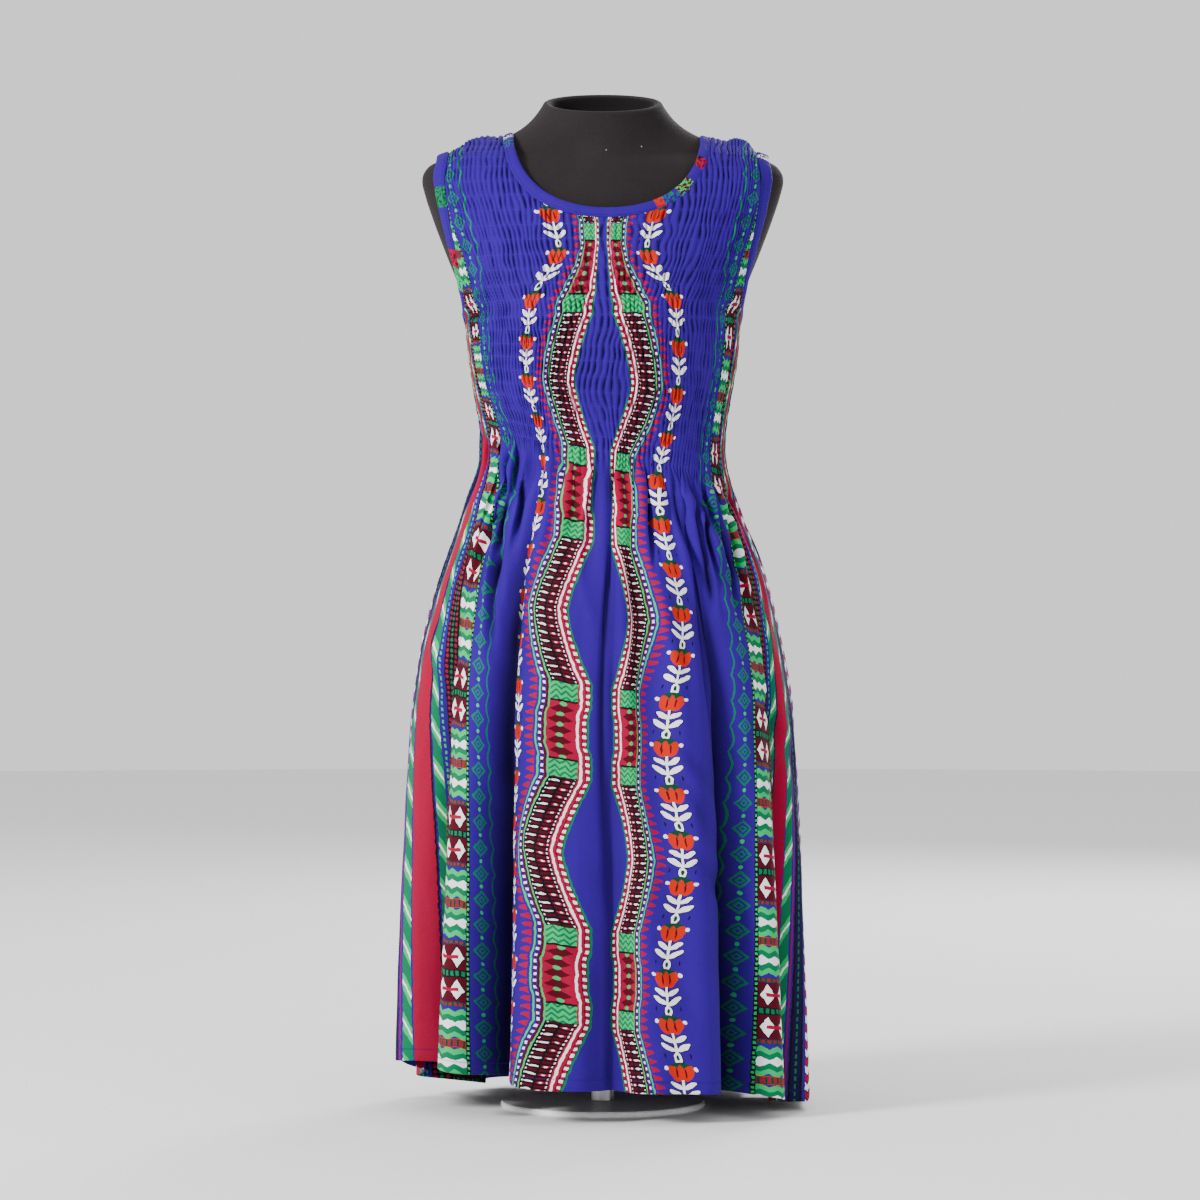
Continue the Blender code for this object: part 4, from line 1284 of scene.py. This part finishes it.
def cloth_finish(net, colour, relief=True):
    """Plain woven cotton: painted light on the ridges and painted shade in the valleys, a weave, small slubs
    and soft creases.
    """
    u, v = net.flat()
    place = net.place()
    cloudy = net.noise(place, 14.0, 3.0)
    slub = net.noise(net.flat_map(), 900.0, 1.0, (0.12, 1.0, 1.0))
    tone = cloudy * 0.22 + slub * 0.16 + 0.81
    weave = (u * (2 * math.pi / 0.00068)).sine() * (v * (2 * math.pi / 0.00062)).sine()
    soft = net.bump(net.noise(place, 95.0, 3.0), 0.0011, 0.55, net.bump(weave, 0.00005, 0.5))
    if relief:
        # Painted light and shade: the colour darkens where the cloth lies low and in the crinkles' grooves,
        # and lightens where it lies high. The grooves also bump the surface.
        ridge = abs((net.number("crinkle") * math.pi).cosine())
        groove = (1.0 - ridge).power(1.5) * net.number("groove")
        tone = tone * (net.number("relief") * 0.56 + 0.52) * (1.0 - groove * 0.78)
        soft = net.bump(1.0 - groove, 0.0012, 0.8, soft)
    made = net.node("HueSaturation", {"Color": colour, "Value": tone})
    return net.surface(
        Base_Color=made.outputs[0], Roughness=cloudy * 0.16 + 0.66, Normal=soft,
        Sheen_Weight=0.02, Sheen_Roughness=0.5, Specular_IOR_Level=0.09,
    )


def print_material(name, drawing):
    net = Net(name)
    return cloth_finish(net, drawing(net).colour())


def band_material(name, segments):
    """Binding cotton: plain blue with the printed bits that its cut happens to hold."""
    net = Net(name)
    along = net.flat()[0]
    ink = Print(net)
    for low, high, dye, second in segments:
        here = along.span(low, high)
        ink.paint(here, dye)
        if second:
            ink.paint(here * net.noise(net.flat_map(), 210.0, 1.0).span(0.50, 0.60), second)
    return cloth_finish(net, ink.colour(), relief=False)


def thread_material(name, colour):
    net = Net(name)
    place = net.place()
    twist = net.noise(place, 1500.0, 1.0)
    tone = net.noise(place, 40.0, 2.0) * 0.3 + twist * 0.2 + 0.75
    made = net.node("HueSaturation", {"Color": (*colour, 1.0), "Value": tone})
    return net.surface(
        Base_Color=made.outputs[0], Roughness=twist * 0.2 + 0.5, Normal=net.bump(twist, 0.0001, 0.4),
        Specular_IOR_Level=0.15,
    )


def jersey_material(name, shade):
    """Black knit over the form: fine stitches, a dusty sheen, a few specks of lint and a factor of painted
    shade.
    """
    net = Net(name)
    place = net.place()
    fine = net.noise(place, 900.0, 2.0, (1.0, 1.0, 0.45))
    cloudy = net.noise(place, 9.0, 3.0)
    lint = net.node("TexVoronoi", {"Vector": place, "Scale": 30.0})
    speck = (Number(net, lint.outputs["Distance"]) < 0.026) * (net.noise(place, 33.0, 0.0) > 0.56)
    knit = ((0.3, (0.010, 0.008, 0.009)), (0.7, (0.020, 0.016, 0.017)))
    base = net.ramp(cloudy * 0.6 + fine * 0.4, knit)
    # Painted shade: the whole knit darkened by the shade factor.
    base = net.blend(1.0, base, (shade, shade, shade), "MULTIPLY")
    return net.surface(
        Base_Color=net.blend(speck * 0.7, base, (0.30, 0.27, 0.20)), Roughness=fine * 0.12 + 0.84,
        Normal=net.bump(fine, 0.0006, 0.45), Sheen_Weight=0.05, Sheen_Roughness=0.45,
        Sheen_Tint=(0.75, 0.66, 0.66, 1.0), Specular_IOR_Level=0.10,
    )


def hard_material(name, colour, metallic, roughness, grain):
    """Brushed steel or enamel."""
    net = Net(name)
    place = net.place()
    cloudy = net.noise(place, 12.0, 4.0)
    fine = net.noise(place, 260.0, 3.0, grain)
    light = tuple(min(1.0, c * 1.08) for c in colour)
    dark = tuple(c * 0.86 for c in colour)
    return net.surface(
        Base_Color=net.ramp(cloudy * 0.5 + fine * 0.5, ((0.3, dark), (0.7, light))),
        Roughness=fine * 0.14 + cloudy * 0.08 + (roughness - 0.1), Normal=net.bump(fine, 0.0002, 0.3),
        Metallic=metallic,
    )


# ---------------------------------------------------------------- the form
FORM_COLUMNS = 160
NECK_START_Z = 0.985     # above this height the form's rings lie closer
# The rim and dished top of the form's neck: distance in from its side, and height over it.
NECK_RIM = (
    (0.0008, 0.0012), (0.0022, 0.0021), (0.0042, 0.0024), (0.0064, 0.0018), (0.0084, 0.0002),
    (0.0096, -0.0030), (0.0106, -0.0090), (0.0120, -0.0180), (0.0300, -0.0188), (0.0560, -0.0190),
)
RIM_REACH = 0.060        # the distance in at which the rings would meet
DISH_RINGS = 5
HOLLOW_Z, HOLLOW_TOP_Z = 1.030, 1.080    # the neck's side, where the knit bridges the hollow
BRIDGE_ROUNDS = 90
FOOT_SHARE = 0.9         # size of the flat under the form's foot, for the foot's own


def make_form(materials):
    """The jersey covered torso, smooth, with the rim and the dished top of its neck."""
    low, high = np.linspace(FORM_FOOT_Z, NECK_START_Z, 60), np.linspace(NECK_START_Z, NECK_TOP_Z, 52)
    heights = np.concatenate((low, high[1:]))
    turns = 2 * math.pi * np.arange(FORM_COLUMNS) / FORM_COLUMNS
    body = form_point(heights[:, None], turns[None, :])
    # The knit bridges the hollow where the neck meets the shoulders.
    inner = heights[1:-1]
    hollow = smooth_step((inner - HOLLOW_Z) / 0.008) * smooth_step((HOLLOW_TOP_Z - inner) / 0.010)
    for _ in range(BRIDGE_ROUNDS):
        body[1:-1] = mix(body[1:-1], (body[:-2] + body[2:]) / 2, 0.5 * hollow[:, None, None])
    *top, fullness = form_sizes(NECK_TOP_Z)
    rim = [
        section_point([size * (1 - inset / RIM_REACH) for size in top] + [fullness], NECK_TOP_Z + lift, turns)
        for inset, lift in NECK_RIM
    ]
    rings = np.concatenate((body, rim))
    start = np.where(rings[..., 1] < 0, NECK_TILT_FROM_Z["front"], NECK_TILT_FROM_Z["back"])
    lean = NECK_TILT * smooth_step((rings[..., 2] - start) / (NECK_TOP_Z - start))
    lean[len(heights):] = NECK_TILT
    rings[..., 2] += lean * rings[..., 1]
    foot = [FOOT_SHARE * size for size in form_sizes(FORM_FOOT_Z)[:3]] + [FULLNESS]
    rings = np.concatenate((section_point(foot, FORM_FOOT_Z, turns)[None], rings))
    faces = tube_faces(len(rings), FORM_COLUMNS)
    made = mesh_from("jersey_form", rings, faces, materials)
    # The dish and the two end faces, which come last, take the jersey darkened as painted shade.
    for face in made.data.polygons[len(faces) - 2 - DISH_RINGS * FORM_COLUMNS :]:
        face.material_index = 1
    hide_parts("form_torso")


# ---------------------------------------------------------------- stage, light and camera
FLOOR_RADIUS = 9.0
SENSOR = 36.0
VIEW_WIDE = 1.296        # what the photograph's frame spans at the dress, at 1.08 mm a pixel
VIEW_FROM = 4.5
VIEW_AT = (-0.003, 0.0, 0.546)
# Soft lights: name, place, height that they aim at, size and power.
LIGHTS = (
    ("key", (-3.2, -2.6, 2.4), 0.6, 1.2, 310),
    ("fill", (2.6, -3.0, 1.0), 0.5, 2.2, 30),
    ("back", (1.6, 3.4, 2.4), 0.7, 1.6, 130),
)
SKY = 1.08


def make_stage():
    """A round pale floor and an even white sky."""
    turns = np.linspace(0, 2 * math.pi, 64, endpoint=False)
    mesh = bpy.data.meshes.new("floor")
    ring = [(FLOOR_RADIUS * math.cos(a), FLOOR_RADIUS * math.sin(a), 0.0) for a in turns]
    mesh.from_pydata(ring, [], [tuple(range(len(turns)))])
    mesh.materials.append(Net("floor_paper").surface(Base_Color=(0.80, 0.80, 0.80, 1.0), Roughness=0.9))
    add("floor", mesh)
    world = bpy.data.worlds.new("studio")
    world.use_nodes = True
    sky = world.node_tree.nodes["Background"]
    sky.inputs[0].default_value = (1.0, 1.0, 1.0, 1.0)
    sky.inputs[1].default_value = SKY
    bpy.context.scene.world = world


def make_light(name, place, aim_z, size, power):
    light = bpy.data.lights.new(name, "AREA")
    light.shape, light.size, light.energy = "DISK", size, power
    made = add(name, light)
    made.location = place
    made.rotation_euler = (Vector((0, 0, aim_z)) - Vector(place)).to_track_quat("-Z", "Y").to_euler()


def make_camera():
    camera = bpy.data.cameras.new("camera")
    camera.sensor_width = SENSOR
    camera.lens = SENSOR * VIEW_FROM / VIEW_WIDE
    made = add("camera", camera)
    made.location = (VIEW_AT[0], VIEW_AT[1] - VIEW_FROM, VIEW_AT[2])
    made.rotation_euler = (math.pi / 2, 0.0, 0.0)
    bpy.context.scene.camera = made


# ---------------------------------------------------------------- making the parts
make_stage()
for light in LIGHTS:
    make_light(*light)
make_camera()

prints = [print_material("print_field", field_print), print_material("print_border", border_print)]
elastic = thread_material("elastic_thread", (0.045, 0.012, 0.300))
thread = [thread_material("sewing_thread", (0.020, 0.002, 0.150))]
panels, stitches = [], []
for side in ("front", "back"):
    made, smock, skirt = make_panel(side, prints)
    panels.append(made)
    make_elastic(side, smock, elastic)
    row = skirt.points[-1] + unit(skirt.points[-3] - skirt.points[-1]) * HEM_STITCH
    stitches += stitch_run(row + skirt.normal[-2] * 0.0001, skirt.normal[-2])
mesh_from("hem_stitches", *joined(stitches), thread)

# The printed bits of the bindings: from and to along the strip, its dye and the dye of its specks.
NECK_BITS = (
    (0.020, 0.030, "maroon", "white"), (0.030, 0.052, "blue", "emerald"),
    (0.262, 0.272, "orange", "crimson"), (0.272, 0.292, "blue", "emerald"), (0.292, 0.312, "maroon", "lime"),
    (0.330, 0.345, "crimson", "black"), (0.480, 0.505, "blue", "lime"), (0.610, 0.625, "orange", "white"),
)
RIGHT_BITS = (
    (0.060, 0.085, "lime", "emerald"), (0.085, 0.105, "crimson", "maroon"),
    (0.150, 0.172, "emerald", "forest"), (0.300, 0.318, "crimson", None), (0.330, 0.350, "emerald", "lime"),
)
LEFT_BITS = ((0.205, 0.216, "white", "black"), (0.318, 0.336, "emerald", "forest"))
# Name, edge, printed bits, seed and the strip's flat length.
BINDINGS = (
    ("neck_binding", neck_edge, NECK_BITS, 61, 0.62),
    ("armhole_binding_right", functools.partial(arm_edge, -1), RIGHT_BITS, 62, 0.43),
    ("armhole_binding_left", functools.partial(arm_edge, 1), LEFT_BITS, 63, 0.43),
)
bands, stitches = [], []
for name, edge, bits, seed, flat_length in BINDINGS:
    made, some = make_binding(name, edge, [band_material(name + "_cotton", bits)], seed)
    bands.append((made, flat_length))
    stitches += some
mesh_from("binding_stitches", *joined(stitches), thread)

# The second jersey is the same knit darkened as painted shade, for the neck's dish.
make_form([jersey_material("form_jersey", 1.0), jersey_material("jersey_painted_shade", 0.35)])
for node, *look in (
    ("form_pole", "pole_steel", (0.55, 0.55, 0.56), 1.0, 0.34, (6.0, 6.0, 0.3)),
    ("form_base", "base_enamel", (0.80, 0.80, 0.79), 0.0, 0.42, None),
):
    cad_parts[node].material_slots[0].material = hard_material(*look)
